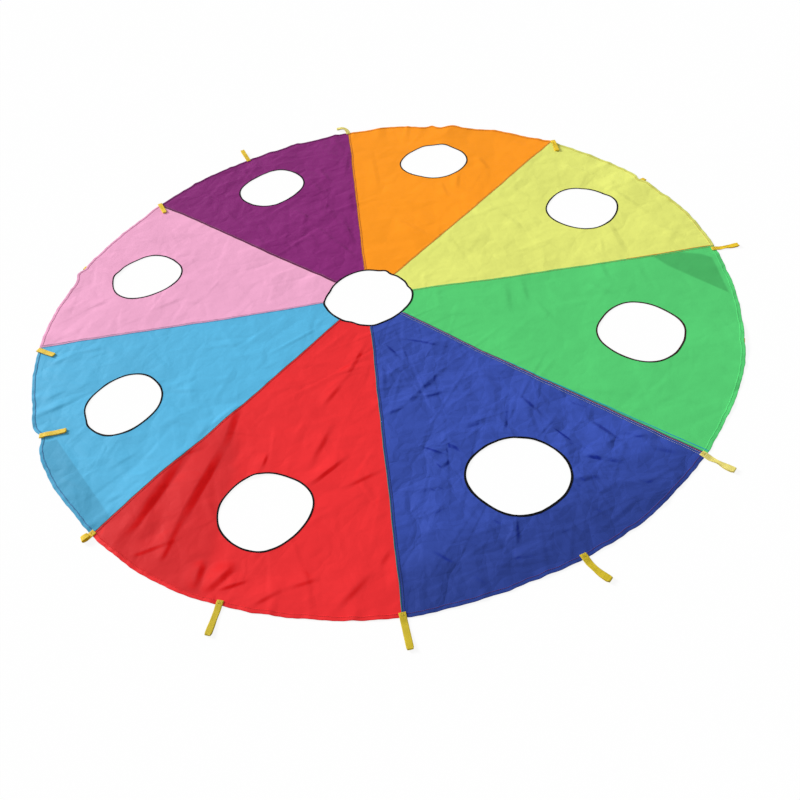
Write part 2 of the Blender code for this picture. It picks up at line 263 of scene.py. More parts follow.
def bell(off, width):
    """A bell curve: e to the minus square of how many widths off its middle."""
    return np.exp(-((off / width) ** 2))


def degrees_off(angle, at):
    """How far angles in radians are from one in degrees, the shorter way round, in degrees."""
    return (np.degrees(angle) - at + 180) % 360 - 180


def toward(angle):
    """The plan direction of each angle."""
    return np.stack([np.cos(angle), np.sin(angle)], -1)


def unit(vectors):
    """Vectors brought to length 1."""
    return vectors / np.maximum(np.linalg.norm(vectors, axis=-1, keepdims=True), 1e-12)


def soft_noise(x, y, cell, seed):
    """Smooth noise from -1 to 1: every lattice corner has a random slope, blended between corners."""
    turns = np.random.default_rng(seed).uniform(0, 2 * np.pi, (LATTICE, LATTICE))
    u, v = x / cell, y / cell
    i, j = np.floor(u).astype(int), np.floor(v).astype(int)
    f, g = u - i, v - j

    def corner(a, b):
        turn = turns[(i + a) % LATTICE, (j + b) % LATTICE]
        return np.cos(turn) * (f - a) + np.sin(turn) * (g - b)

    s, t = f**3 * (f * (6 * f - 15) + 10), g**3 * (g * (6 * g - 15) + 10)
    low = corner(0, 0) * (1 - s) + corner(1, 0) * s
    high = corner(0, 1) * (1 - s) + corner(1, 1) * s
    return NOISE_GAIN * (low * (1 - t) + high * t)


def by_panel(*values):
    """One value for each panel, in the order of PANEL_NAMES, kept under its name."""
    return dict(zip(PANEL_NAMES, values))


def hole_middle(i):
    """The middle of panel i's hole in the cut, before the canopy settles."""
    return HOLE_RING * toward(FIRST_SEAM + (i + 0.5) * PANEL_TURN)


def settle(x, y):
    """Moves points of the flat cut to where the cloth lies: out or in by the sum of smooth bumps
    along the rim, sideways by slow noise, and away from each hole by how far its edge is pulled."""
    radius, angle = np.hypot(x, y), np.arctan2(y, x)
    run = sum(far * MM * soft_noise(angle * count, radius * 0, 1, seed) for count, far, seed in RIM_WAVES)
    run = run + sum(far * MM * bell(degrees_off(angle, at), width) for at, far, width in RIM_RUNS)
    turn = sum(far * MM * bell(degrees_off(angle, at), width) for at, far, width in RIM_SLIDES)
    inward = eased((radius - RIM + RIM_RUN_DEPTH) / RIM_RUN_DEPTH)
    run, turn = run * inward / radius, turn * inward / radius
    slide = 1 - eased((radius - MIDDLE_HOLE_EDGE) / MIDDLE_SLIDE_REACH)
    wander_x, wander_y = (SEAMS_WANDER * sum(share * soft_noise(x, y, cell, seed + k)
                                             for cell, share, seed in WANDERS) for k in (0, 1))
    new_x = x + x * run - y * turn + wander_x + MIDDLE_SLIDES[0] * slide
    new_y = y + y * run + x * turn + wander_y + MIDDLE_SLIDES[1] * slide
    for name, pulls in HOLE_PULLS.items():
        middle, edge, outward = np.zeros(2), MIDDLE_HOLE_EDGE, 0
        if name != "middle":
            middle, edge = hole_middle(PANEL_NAMES.index(name)), HOLE_EDGE
            outward = math.atan2(middle[1], middle[0])
        dx, dy = x - middle[0], y - middle[1]
        away, turn = np.hypot(dx, dy), np.arctan2(dy, dx) - outward
        pull = pulls[0] + sum(pulls[2 * k - 1] * np.cos(k * turn) + pulls[2 * k] * np.sin(k * turn)
                              for k in (1, 2, 3, 4))
        if name == "middle":
            pull = pull + sum(far * bell(degrees_off(turn, at), width) for at, far, width in MIDDLE_RUNS)
        pull = pull * MM * bell(np.maximum(away - edge, 0), HOLE_PULL_REACH) / np.maximum(away, 1e-6)
        new_x, new_y = new_x + pull * dx, new_y + pull * dy
    return new_x, new_y


# Where each handle is sewn on comes from its hinge. Cloth lies flat under a handle, and it rises
# over the four handles that are tucked under the rim.
HINGE_PAST_RIM = 2.5 * MM
TUCKED = ("orange", "yellow", "green", "pink")
LYING_IN = ("light_blue", "light_blue_pink", "pink_purple", "orange_yellow")
handle_feet = {}
for joint in frame["joints"]:
    place = joint["name"].removeprefix("handle_swing_")
    if place != joint["name"]:
        side = 1 if joint["parent"] == "near_half" else -1
        heading = math.atan2(-side * joint["axis"][0], side * joint["axis"][1])
        foot = np.array(joint["pos_m"][:2]) - HINGE_PAST_RIM * toward(heading)
        handle_feet[place] = (foot, heading, joint["parent"])

# Folds that show one by one in the photograph, where one side of each turns away from the lamp and
# shows as a dark band: the pixels of the band's two ends, how wide the band is in mm, how wide the
# fold's gentle side is, towards the lamp, and its height.
FOLDS = {
    "red": (
        (190, 450, 117, 549, 44, 150, 13), (240, 406, 226, 446, 32, 90, 7),
        (226, 444, 178, 528, 36, 110, 11), (160, 508, 146, 540, 50, 60, 4),
        (367, 343, 346, 380, 18, 40, 3), (346, 380, 322, 409, 20, 40, 3.5),
        (334, 424, 310, 468, 22, 50, 3.5), (348, 457, 309, 487, 18, 50, 4),
        (386, 469, 342, 490, 16, 50, 3), (180, 540, 128, 559, 16, 50, 4),
        (173, 541, 161, 563, 16, 40, 4), (205, 562, 196, 590, 24, 60, 7),
        (236, 567, 207, 594, 26, 60, 8), (250, 581, 216, 592, 14, 40, 3.5),
        (284, 590, 250, 608, 16, 50, 3), (376, 570, 334, 614, 20, 60, 3.5),
        (392, 550, 380, 568, 16, 40, 3), (204, 449, 180, 456, 16, 50, 3),
        (269, 453, 262, 470, 14, 36, 3), (262, 470, 254, 482, 14, 36, 2.6),
        (241, 406, 206, 432, 18, 20, 3), (182, 520, 168, 548, 22, 50, 4),
        (150, 506, 130, 536, 30, 50, 4), (324, 578, 286, 590, 16, 50, 2.5),
        (214, 418, 196, 444, 20, 50, 3),
    ),
    "blue": (
        (444, 370, 406, 406, 18, 50, 4), (406, 406, 384, 417, 16, 40, 4),
        (383, 343, 404, 362, 16, 40, 3.5), (452, 389, 420, 400, 16, 40, 3),
        (484, 366, 497, 390, 30, 60, 4), (497, 390, 499, 420, 26, 60, 4),
        (508, 396, 505, 434, 14, 30, 3.5), (513, 390, 549, 421, 18, 40, 4.5),
        (549, 421, 579, 452, 18, 40, 4.5), (582, 415, 628, 447, 22, 50, 6),
        (566, 400, 600, 414, 20, 50, 4), (640, 446, 690, 456, 22, 50, 5),
        (612, 432, 660, 440, 18, 50, 4), (570, 481, 606, 477, 20, 50, 4.5),
        (575, 454, 640, 466, 20, 50, 5), (577, 498, 622, 526, 18, 40, 3.5),
        (515, 520, 520, 545, 18, 40, 5), (480, 514, 510, 530, 18, 40, 3.5),
        (424, 546, 466, 572, 18, 50, 4.5), (466, 572, 494, 590, 18, 50, 3.5),
        (436, 441, 466, 453, 20, 50, 5), (420, 446, 450, 458, 16, 40, 4),
        (459, 430, 486, 421, 18, 40, 4), (440, 470, 452, 460, 14, 30, 3.5),
        (508, 563, 560, 546, 18, 50, 3.5), (396, 496, 458, 486, 18, 50, 3),
        (400, 556, 403, 592, 26, 40, 4), (392, 337, 462, 350, 14, 40, 3),
        (384, 362, 386, 398, 18, 30, 3), (474, 400, 492, 408, 16, 40, 3),
        (430, 516, 448, 506, 16, 40, 3), (528, 404, 540, 440, 14, 40, 2.5),
        (620, 486, 660, 480, 18, 50, 3.5), (640, 500, 604, 530, 16, 40, 3),
    ),
    "green": (
        (590, 284, 613, 293, 16, 40, 2.5), (506, 284, 512, 312, 18, 40, 2),
        (522, 278, 530, 304, 18, 40, 2), (536, 300, 556, 322, 16, 50, 2),
        (672, 399, 697, 405, 14, 30, 1.8), (560, 390, 640, 396, 24, 60, 1.6),
        (600, 262, 610, 280, 18, 40, 2), (540, 262, 560, 272, 16, 40, 1.6),
        (470, 300, 500, 312, 16, 40, 1.6),
    ),
    "light_blue": (
        (74, 402, 36, 418, 18, 40, 4), (66, 392, 44, 402, 16, 40, 3), (50, 367, 76, 355, 16, 40, 2.5),
        (76, 354, 108, 349, 16, 40, 2.5), (105, 504, 124, 495, 14, 30, 2),
        (60, 480, 84, 490, 14, 30, 2), (164, 393, 206, 391, 18, 50, 2.2),
        (150, 350, 172, 372, 18, 50, 2), (200, 350, 240, 345, 18, 50, 2),
        (110, 470, 140, 452, 16, 50, 2), (62, 440, 80, 470, 20, 50, 2.5),
    ),
    "purple": (
        (313, 224, 336, 241, 18, 40, 4), (336, 241, 358, 258, 18, 40, 4),
        (294, 208, 314, 222, 18, 40, 3), (330, 196, 326, 212, 16, 40, 3.5),
        (346, 222, 355, 243, 16, 40, 3), (208, 195, 216, 203, 16, 40, 3),
        (226, 210, 238, 221, 18, 40, 3), (257, 234, 269, 250, 20, 50, 3.5),
        (282, 158, 300, 158, 16, 40, 2.5), (350, 150, 346, 180, 18, 40, 3),
        (354, 215, 350, 190, 18, 40, 2.6), (300, 236, 318, 246, 18, 50, 3),
        (216, 176, 240, 170, 18, 40, 2.5), (320, 168, 334, 186, 20, 50, 3),
    ),
    "orange": (
        (479, 158, 490, 170, 20, 50, 3.5), (459, 173, 458, 188, 18, 40, 2.5),
        (390, 216, 436, 238, 20, 60, 2.5), (436, 141, 452, 146, 16, 40, 2.5),
        (442, 183, 448, 196, 16, 40, 2), (372, 150, 380, 190, 24, 60, 2),
    ),
    "yellow": (
        (441, 238, 474, 252, 20, 50, 3.5), (474, 252, 508, 264, 20, 50, 3.5),
        (506, 185, 530, 197, 18, 50, 2.6), (609, 222, 625, 250, 26, 60, 4),
        (560, 163, 600, 176, 18, 50, 2.6), (613, 190, 650, 214, 20, 50, 2.6),
        (648, 222, 690, 238, 20, 50, 2.6), (500, 212, 530, 232, 20, 60, 2.6),
    ),
    "pink": (
        (92, 308, 108, 302, 16, 40, 2), (150, 312, 190, 296, 20, 50, 2), (60, 296, 72, 280, 16, 40, 2),
        (180, 280, 215, 286, 20, 50, 1.8), (160, 236, 200, 250, 18, 50, 1.8),
    ),
}
# a fold has faded at this many times its half length; how crisp its gentle side and its band are
FOLD_SPREAD = 1.3
FOLD_CRISP = (0.6, 0.75)
# how strongly each panel is creased all over, how many creases it has, and how high its rim
# ripples, in mm
CREASED = by_panel(0.8, 0.5, 0.55, 0.5, 0.5, 0.38, 0.45, 0.3)
CREASES = by_panel(120, 90, 100, 90, 190, 80, 100, 90)
RIPPLED = by_panel(5.5, 5.0, 3.5, 1.8, 2.2, 3.0, 4.0, 5.0)
# least and most of what is drawn for each crease: how far out it lies and half its length in metres,
# and its height, band and gentle side in mm; the blue panel's are sharper and longer
CREASE_PLACES, CREASE_HALVES = (0.2, 1.46), (0.03, 0.17)
CREASE_HEIGHTS, CREASE_BANDS, CREASE_SIDES = (0.4, 2.4), (12, 24), (16, 60)
CREASE_SCATTER = 0.55
BLUE_SHARPER, BLUE_LONGER = 0.55, 1.8
# how many ripples a rim has, and their half widths and depths in mm: least and most of each
RIPPLE_COUNTS, RIPPLE_WIDTHS, RIPPLE_DEPTHS = (9, 13), (12, 30), (50, 190)
RIPPLE_FADE = 1.6
# slow waves of the cloth: mm up or down, the cell in metres, and the seed
CLOTH_WAVES = ((1.1, 0.31, 21), (0.5, 0.07, 22))
CLOTH_REST = 2.2 * MM
CLOTH_LEAST = 0.9 * MM
CLOTH_MOST = 13.5 * MM
CLOTH_SOFT_FLOOR = 0.6 * MM
# the cloth is pressed flat this far inward of a handle's foot and aside of it, eases out of that
# over so much more, and keeps the last share of its height
PRESSED_INWARD, PRESSED_UNDER_LOOP = 22 * MM, 112 * MM
PRESSED_ASIDE = 14 * MM
PRESSED_EASE_ASIDE, PRESSED_EASE_INWARD = 22 * MM, 30 * MM
PRESSED_LEFT = 0.1
HUMP_RISE = 6.3 * MM
HUMP_FLAT = 16 * MM
HUMP_FOOT = 150 * MM
HUMP_RUN = (106 * MM, 260 * MM)


def fold_height(x, y, start, end, band, gentle, height):
    """One fold: it rises in an S curve over its gentle width, falls in another over its band to the
    right of the way from its start to its end, and fades to its ends."""
    along = unit(end - start)
    dx, dy = x - (start[0] + end[0]) / 2, y - (start[1] + end[1]) / 2
    s = (dx * along[0] + dy * along[1]) / (np.linalg.norm(end - start) / 2)
    d = dx * along[1] - dy * along[0]
    rise = np.zeros_like(x)
    near = (np.abs(s) < FOLD_SPREAD) & (d > -gentle - band / 2) & (d < band / 2)
    s, d = s[near], d[near]
    across = eased(1 + (d + band / 2) / gentle, FOLD_CRISP[0]) * (1 - eased(d / band + 0.5, FOLD_CRISP[1]))
    rise[near] = height * across * (1 - (s / FOLD_SPREAD) ** 2) ** 2
    return rise


def random_creases(i):
    """The creases of one panel from its packing: short lines, strewn over its wedge by its seed."""
    name = PANEL_NAMES[i]
    draw = np.random.default_rng(100 + i)
    made = []
    sharp, longer = (BLUE_SHARPER, BLUE_LONGER) if name == "blue" else (1, 1)
    low, high = CREASE_PLACES
    for _ in range(CREASES[name]):
        radius = math.sqrt(draw.uniform(low**2, high**2))
        angle = FIRST_SEAM + (i + draw.uniform(0.04, 0.96)) * PANEL_TURN
        turn = angle + draw.choice((0, math.pi / 2)) + draw.normal(0, CREASE_SCATTER)
        half = longer * draw.uniform(*CREASE_HALVES) * toward(turn)
        height = CREASED[name] * draw.choice((1, 1, -1)) * draw.uniform(*CREASE_HEIGHTS) * MM
        band, gentle = (sharp * draw.uniform(*widths) * MM for widths in (CREASE_BANDS, CREASE_SIDES))
        middle = radius * toward(angle)
        made.append((middle - half, middle + half, band, gentle, height))
    for x1, y1, x2, y2, band, gentle, height in FOLDS[name]:
        start, end = on_floor(x1, y1), on_floor(x2, y2)
        if np.cross(end - start, toward(LAMP_AZIMUTH)) < 0:
            start, end = end, start
        made.append((start, end, band * MM, gentle * MM, height * MM))
    return made


def rim_ripples(i):
    """Ripples that cross one panel's rim: their angles, half widths, heights and depths."""
    draw = np.random.default_rng(200 + i)
    count = draw.integers(*RIPPLE_COUNTS)
    at = FIRST_SEAM + (i + (np.arange(count) + draw.uniform(0.2, 0.8, count)) / count) * PANEL_TURN
    widths = draw.uniform(*RIPPLE_WIDTHS, count) * MM
    heights = RIPPLED[PANEL_NAMES[i]] * draw.uniform(0.25, 1, count) * MM
    return list(zip(at, widths, heights, draw.uniform(*RIPPLE_DEPTHS, count) * MM))


creases = [random_creases(i) for i in range(len(PANEL_NAMES))]
ripples = [rim_ripples(i) for i in range(len(PANEL_NAMES))]


def along_foot(x, y, name):
    """Distances out from a handle's foot along its heading, and aside, in plan."""
    foot, heading, _ = handle_feet[name]
    foot_x, foot_y = settle(*foot)
    c, s = toward(heading)
    return (x - foot_x) * c + (y - foot_y) * s, (y - foot_y) * c - (x - foot_x) * s


def lie(x, y, i):
    """The cloth's height over the floor near panel i: slow noise, its creases and its neighbours',
    and the rim's ripples, kept off the floor, pressed flat by handles and lifted over tucked ones."""
    height = sum(rise * MM * soft_noise(x, y, cell, seed) for rise, cell, seed in CLOTH_WAVES)
    radius, angle = np.hypot(x, y), np.arctan2(y, x)
    for k in (i - 1, i, (i + 1) % len(PANEL_NAMES)):
        for crease in creases[k]:
            height = height + fold_height(x, y, *crease)
        for at, width, rise, depth in ripples[k]:
            off = ((angle - at + np.pi) % (2 * np.pi) - np.pi) * radius
            inward = np.maximum(RIM - radius, 0) / depth
            height = height + rise * bell(off, width * (1 + inward)) * np.exp(-inward * RIPPLE_FADE)
    hump = np.zeros_like(x)
    for name in handle_feet:
        out, aside = along_foot(x, y, name)
        inward = PRESSED_UNDER_LOOP if name in LYING_IN else PRESSED_INWARD
        pressed = eased((np.abs(aside) - PRESSED_ASIDE) / PRESSED_EASE_ASIDE)
        pressed = pressed + eased((-out - inward) / PRESSED_EASE_INWARD)
        height = height * np.clip(pressed, PRESSED_LEFT, 1)
        if name in TUCKED:
            across = 1 - eased((np.abs(aside) - HUMP_FLAT) / (HUMP_FOOT - HUMP_FLAT))
            run = 1 - eased((-out - HUMP_RUN[0]) / (HUMP_RUN[1] - HUMP_RUN[0]))
            hump = np.maximum(hump, HUMP_RISE * across * run)
    height = CLOTH_REST - CLOTH_LEAST + height
    height = 0.5 * (height + np.hypot(height, CLOTH_SOFT_FLOOR))
    return CLOTH_LEAST + CLOTH_MOST * np.tanh(height / CLOTH_MOST) + hump


def laid(cut, i, rise=0.0, least=0.0):
    """Points of the cut where they lie, rise above the cloth near panel i and at least that high."""
    x, y = settle(cut[..., 0], cut[..., 1])
    return np.stack([x, y, np.maximum(lie(x, y, i) + rise, least)], -1)


# The eight canopy panels are wedges of thin nylon taffeta, one colour each, with a round hole cut
# in them. Each is one sheet: a polar grid from the middle hole outwards, and a ring of quads round
# its own hole. Some patches are painted darker, those on the red and blue panels as painted shade,
# and steep folds get painted shade in their colour.
JOIN_RADIUS = 860 * MM
CELLS_ACROSS = 132
CELLS_INWARD = 138
CELLS_UP_SEAM = 104
CELLS_ALONG_RIM = 176
CELLS_ROUND_HOLE = 72
BLUE_FINER = 1.3
UNDER_TAPE = 0.8 * MM
# linear colours of the cloth
CLOTH = by_panel(
    (0.235, 0.019, 0.17), (0.89, 0.405, 0.62), (0.095, 0.46, 0.74), (0.82, 0.028, 0.032),
    (0.0385, 0.077, 0.395), (0.093, 0.61, 0.172), (0.76, 0.8, 0.18), (1.0, 0.32, 0.012))
# how deep the fine crumples of the cloth are
CRUMPLED = by_panel(1.1, 0.5, 0.65, 0.5, 1.9, 0.35, 0.6, 0.4)
# the slope past which a fold gets painted shade, a deeper colour, and over how much more slope it gets all
# of it
FOLD_PAINTED_SHADE_FROM = by_panel(0.17, 0.2, 0.17, 0.07, 0.15, 0.17, 0.17, 0.17)
FOLD_PAINTED_SHADE_RANGE = 0.18
# soft edged patches painted darker: painted shade where the red and blue cloth tilts away from the
# lamp, and darker patches on the light blue and green panels; corners in the photograph's pixels
DARK_PATCH_LIGHT_BLUE = ((57, 440), (112, 520), (96, 560), (10, 450))
DARK_PATCH_GREEN = ((649, 254), (680, 252.5), (701, 254.5), (712, 258), (729, 293), (668, 266))
PAINTED_SHADE_RED = ((236, 395), (236, 470), (190, 640), (60, 560))
PAINTED_SHADE_BLUE = ((380, 545), (560, 495), (720, 425), (760, 520), (560, 660), (360, 660))
# each patch's corners, how strong it is, and how wide its edge is in mm
PATCHES = {"light_blue": (DARK_PATCH_LIGHT_BLUE, 0.55, 4), "green": (DARK_PATCH_GREEN, 0.75, 8),
           "red": (PAINTED_SHADE_RED, 0.5, 60), "blue": (PAINTED_SHADE_BLUE, 0.95, 260)}


def panel_plan(i):
    """Plan points and faces of a panel. Points: rows of a polar grid up to JOIN_RADIUS, then rings
    that change from the hole's circle into the outline of the outer part, which the rows meet."""
    finer = BLUE_FINER if PANEL_NAMES[i] == "blue" else 1
    across, inward, up_seam, along_rim, round_hole = (int(finer * n) for n in (
        CELLS_ACROSS, CELLS_INWARD, CELLS_UP_SEAM, CELLS_ALONG_RIM, CELLS_ROUND_HOLE))
    low, high = FIRST_SEAM + i * PANEL_TURN, FIRST_SEAM + (i + 1) * PANEL_TURN
    angles = np.linspace(low, high, across + 1)
    radii = np.linspace(MIDDLE_HOLE_EDGE + UNDER_TAPE, JOIN_RADIUS, inward + 1)
    rows = radii[:-1, None, None] * toward(angles)
    seam = np.linspace(JOIN_RADIUS, RIM, up_seam + 1)[:, None]
    outer = np.concatenate([
        JOIN_RADIUS * toward(angles[:-1]), seam[:-1] * toward(high),
        RIM * toward(np.linspace(high, low, along_rim + 1)[:-1]), seam[:0:-1] * toward(low)])
    hole = hole_middle(i) + unit(outer - hole_middle(i)) * (HOLE_EDGE + UNDER_TAPE)
    t = np.linspace(0, 1, round_hole + 1)[:, None, None]
    points = np.concatenate([rows.reshape(-1, 2), (hole * (1 - t) + outer * t).reshape(-1, 2)])

    first_ring = inward * (across + 1)
    ring_ids = np.arange(first_ring, len(points)).reshape(round_hole + 1, -1)
    row_ids = np.concatenate([np.arange(first_ring).reshape(inward, -1), ring_ids[-1:, : across + 1]])
    grid = np.stack([row_ids[:-1, :-1], row_ids[1:, :-1], row_ids[1:, 1:], row_ids[:-1, 1:]], -1)
    turned = np.roll(ring_ids, -1, axis=1)
    ring = np.stack([ring_ids[:-1], turned[:-1], turned[1:], ring_ids[1:]], -1)
    return points, np.concatenate([grid.reshape(-1, 4), ring.reshape(-1, 4)])


def joined(parts):
    """Several (points, faces) as one, with the number of each part's faces."""
    firsts = np.cumsum([0] + [len(points) for points, _ in parts])
    faces = [faces + first for (_, faces), first in zip(parts, firsts)]
    return np.concatenate([points for points, _ in parts]), np.concatenate(faces), [len(f) for f in faces]


def mesh_piece(name, parts, finishes):
    """A piece from parts of (points, quads), shaded smooth, with a finish for each part; the last one
    serves all that are left. A quad with a repeated corner stands for a triangle."""
    points, faces, counts = joined(parts)
    kept = np.ones(faces.shape, bool)
    kept[:, 1:] = faces[:, 1:] != faces[:, :-1]
    sides = kept.sum(1)
    mesh = bpy.data.meshes.new(name)
    mesh.vertices.add(len(points))
    mesh.vertices.foreach_set("co", points.astype(np.float32).ravel())
    mesh.loops.add(int(sides.sum()))
    mesh.loops.foreach_set("vertex_index", faces[kept].astype(np.int32))
    mesh.polygons.add(len(faces))
    mesh.polygons.foreach_set("loop_start", (np.cumsum(sides) - sides).astype(np.int32))
    mesh.update(calc_edges=True)
    for finish in finishes:
        mesh.materials.append(finish)
    index = np.repeat(np.minimum(np.arange(len(parts)), len(finishes) - 1), counts)
    mesh.polygons.foreach_set("material_index", index.astype(np.int32))
    mesh.shade_smooth()
    made = bpy.data.objects.new(name, mesh)
    bpy.context.scene.collection.objects.link(made)
    return made


def facing_up(points, faces):
    """The same faces, all turned so that they face up, judged by the signed area of each in plan."""
    a, b, c = (points[faces[:, k]] for k in range(3))
    area = (b[:, 0] - a[:, 0]) * (c[:, 1] - a[:, 1]) - (b[:, 1] - a[:, 1]) * (c[:, 0] - a[:, 0])
    return np.where((area < 0)[:, None], faces[:, ::-1], faces)


def inside_patch(x, y, corners, edge):
    """1 inside a convex outline on the floor and 0 outside, with an edge that soft."""
    plan = np.array([on_floor(*c) for c in corners])
    sides = list(zip(plan, np.roll(plan, -1, 0)))
    area = sum(p[0] * q[1] - p[1] * q[0] for p, q in sides)
    nearest = np.full_like(x, np.inf)
    for p, q in sides:
        along = unit(q - p) * math.copysign(1, area)
        nearest = np.minimum(nearest, along[0] * (y - p[1]) - along[1] * (x - p[0]))
    return eased(nearest / edge + 0.5)


def group(name, inputs, outputs):
    """An empty shader node group with named sockets, each given with its kind."""
    made = bpy.data.node_groups.new(name, "ShaderNodeTree")
    for way, sockets in (("INPUT", inputs), ("OUTPUT", outputs)):
        for label, kind in sockets.items():
            made.interface.new_socket(label, in_out=way, socket_type="NodeSocket" + kind)
    return made, made.nodes.new("NodeGroupInput"), made.nodes.new("NodeGroupOutput")


def mixed(tree, share, first, second):
    """A mix of two colours by a share. A colour is a socket pair or three numbers."""
    first, second = (colour if len(colour) == 2 else (*colour, 1) for colour in (first, second))
    return node(tree, "Mix", data_type="RGBA", Factor=share, A=first, B=second), "Result"


def bumped(tree, shader, height, strength, distance):
    """Lets a height, times the distance in metres, bend the shader's normal."""
    bump = node(tree, "Bump", Strength=strength, Distance=distance, Height=height)
    link(tree, (bump, "Normal"), (shader, "Normal"))


# the scale and height of the taffeta's facets, the height of its ridges, the height and scale of
# its threads, and how far noise bends its facets and ridges
FACETS = ((4.0, 1.6), (9.0, 0.6), (21.0, 0.2))
RIDGE_HEIGHT = 0.14
THREAD_HEIGHT = 0.006
THREAD_SCALE = 340.0
FACET_BENDS = (0.12, 0.12, 0.12)


def crinkled_taffeta():
    """Taffeta from Object coordinates: a plain weave of fine threads, flat facets like low roofs at
    three sizes, whose height is the distance to their outline, sharp winding ridges, and slow
    mottling. It puts out a height and a mask from 0 to 1."""
    made, ins, outs = group("crinkled_taffeta", {"Place": "Vector", "Crinkle": "Float"},
                            {"Height": "Float", "Mottle": "Float"})
    place = (ins, "Place")
    off = node(made, "VectorMath", operation="MULTIPLY_ADD")
    off.inputs[1].default_value = FACET_BENDS
    link(made, (node(made, "TexNoise", Vector=place, Scale=5.0, Detail=2.0), "Color"), (off, 0))
    link(made, place, (off, 2))
    bent_place = (off, "Vector")
    ridges = node(made, "TexNoise", noise_type="RIDGED_MULTIFRACTAL", Vector=bent_place, Scale=3.4,
                  Detail=3.0, Roughness=0.5, Lacunarity=2.3, Offset=1.0, Gain=1.4, Distortion=0.5)
    total = mathed(made, "MULTIPLY", (ridges, "Fac"), RIDGE_HEIGHT)
    for scale, size in FACETS:
        facets = node(made, "TexVoronoi", feature="DISTANCE_TO_EDGE", Vector=bent_place, Scale=scale)
        total = mathed(made, "ADD", total, mathed(made, "MULTIPLY", (facets, "Distance"), size))
    crinkle = mathed(made, "MULTIPLY", total, (ins, "Crinkle"))
    threads = [(node(made, "TexWave", bands_direction=axis, Vector=place, Scale=THREAD_SCALE), "Fac")
               for axis in "XY"]
    weave = mathed(made, "MULTIPLY", mathed(made, "MULTIPLY", *threads), THREAD_HEIGHT)
    link(made, mathed(made, "ADD", crinkle, weave), (outs, "Height"))
    mottle = node(made, "TexNoise", Vector=place, Scale=2.3, Detail=4.0, Roughness=0.6, Distortion=0.5)
    spread = node(made, "MapRange", Value=(mottle, "Fac"), From_Min=0.35, From_Max=0.65)
    link(made, (spread, "Result"), (outs, "Mottle"))
    return made


taffeta_group = crinkled_taffeta()
TAFFETA_ROUGHNESS = 0.5
MOTTLE_ROUGHER = 0.1
MOTTLE_DULLER = 0.93
# how much darker the patches are painted; on the red and blue panels this is painted shade
PATCH_AND_PAINTED_SHADE_DULLER = 0.62
# how much deeper painted shade makes the colour of steep folds
FOLD_PAINTED_SHADE_DEEPER = 1.45


def taffeta(name, colour, deep=0.0, crinkle=1.0):
    """A cloth finish. deep makes it darker, as where the cloth lies in more than one layer. Its colour is
    painted darker in marked patches, some of them as painted shade, and deeper in steep folds as painted
    shade."""
    made, tree, shader = new_finish(name, TAFFETA_ROUGHNESS, 0.05)
    place = (node(tree, "TexCoord"), "Object")
    weave = node(tree, "Group", node_tree=taffeta_group, Crinkle=crinkle, Place=place)
    mottle = (weave, "Mottle")
    base = np.array(colour) * (1 - deep)
    tone = mixed(tree, mottle, base, base * MOTTLE_DULLER)
    # marked patches are painted darker, some as painted shade, and steep folds get painted shade
    for label, deeper in (("doubled", base * PATCH_AND_PAINTED_SHADE_DULLER), ("steep", base**FOLD_PAINTED_SHADE_DEEPER)):
        tone = mixed(tree, (node(tree, "Attribute", attribute_name=label), "Fac"), tone, deeper)
    link(tree, tone, (shader, "Base Color"))
    rough = mathed(tree, "MULTIPLY_ADD", mottle, MOTTLE_ROUGHER, TAFFETA_ROUGHNESS)
    link(tree, rough, (shader, "Roughness"))
    bumped(tree, shader, (weave, "Height"), 0.7, 0.01)
    return made


half_of = {name: ("near_half" if name in ("light_blue", "red", "blue", "green") else "far_half")
           for name in PANEL_NAMES}
# the panels that lie on both sides of the fold line
BY_THE_FOLD = ("light_blue", "green", "pink", "yellow")


def carried(piece, name):
    """Lets a piece of panel name move with its half. A piece of a panel by the fold line has its
    place baked into its mesh instead, and moves with neither half.
    """
    if name in BY_THE_FOLD:
        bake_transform(piece)
    else:
        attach(piece, half_of[name])


for i, name in enumerate(PANEL_NAMES):
    cut, faces = panel_plan(i)
    points = laid(cut, i)
    finish = taffeta(f"taffeta_{name}", CLOTH[name], crinkle=CRUMPLED[name])
    piece = mesh_piece(f"canopy_panel_{name}", [(points, facing_up(points, faces))], [finish])
    # patches painted darker, those on the red and blue panels as painted shade
    doubled = np.zeros(len(points))
    if name in PATCHES:
        corners, strength, edge = PATCHES[name]
        doubled = strength * inside_patch(points[:, 0], points[:, 1], corners, edge * MM)
    normals = np.zeros(len(points) * 3)
    piece.data.vertex_normals.foreach_get("vector", normals)
    upright = np.clip(normals[2::3], 0.1, 1)
    # the steeper the cloth lies, the more painted shade deepens its colour
    steep = eased((np.sqrt(1 / upright**2 - 1) - FOLD_PAINTED_SHADE_FROM[name]) / FOLD_PAINTED_SHADE_RANGE)
    for label, values in (("doubled", doubled), ("steep", steep)):
        piece.data.attributes.new(label, "FLOAT", "POINT").data.foreach_set("value", values)
    carried(piece, name)
    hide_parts(f"panel_{name}")

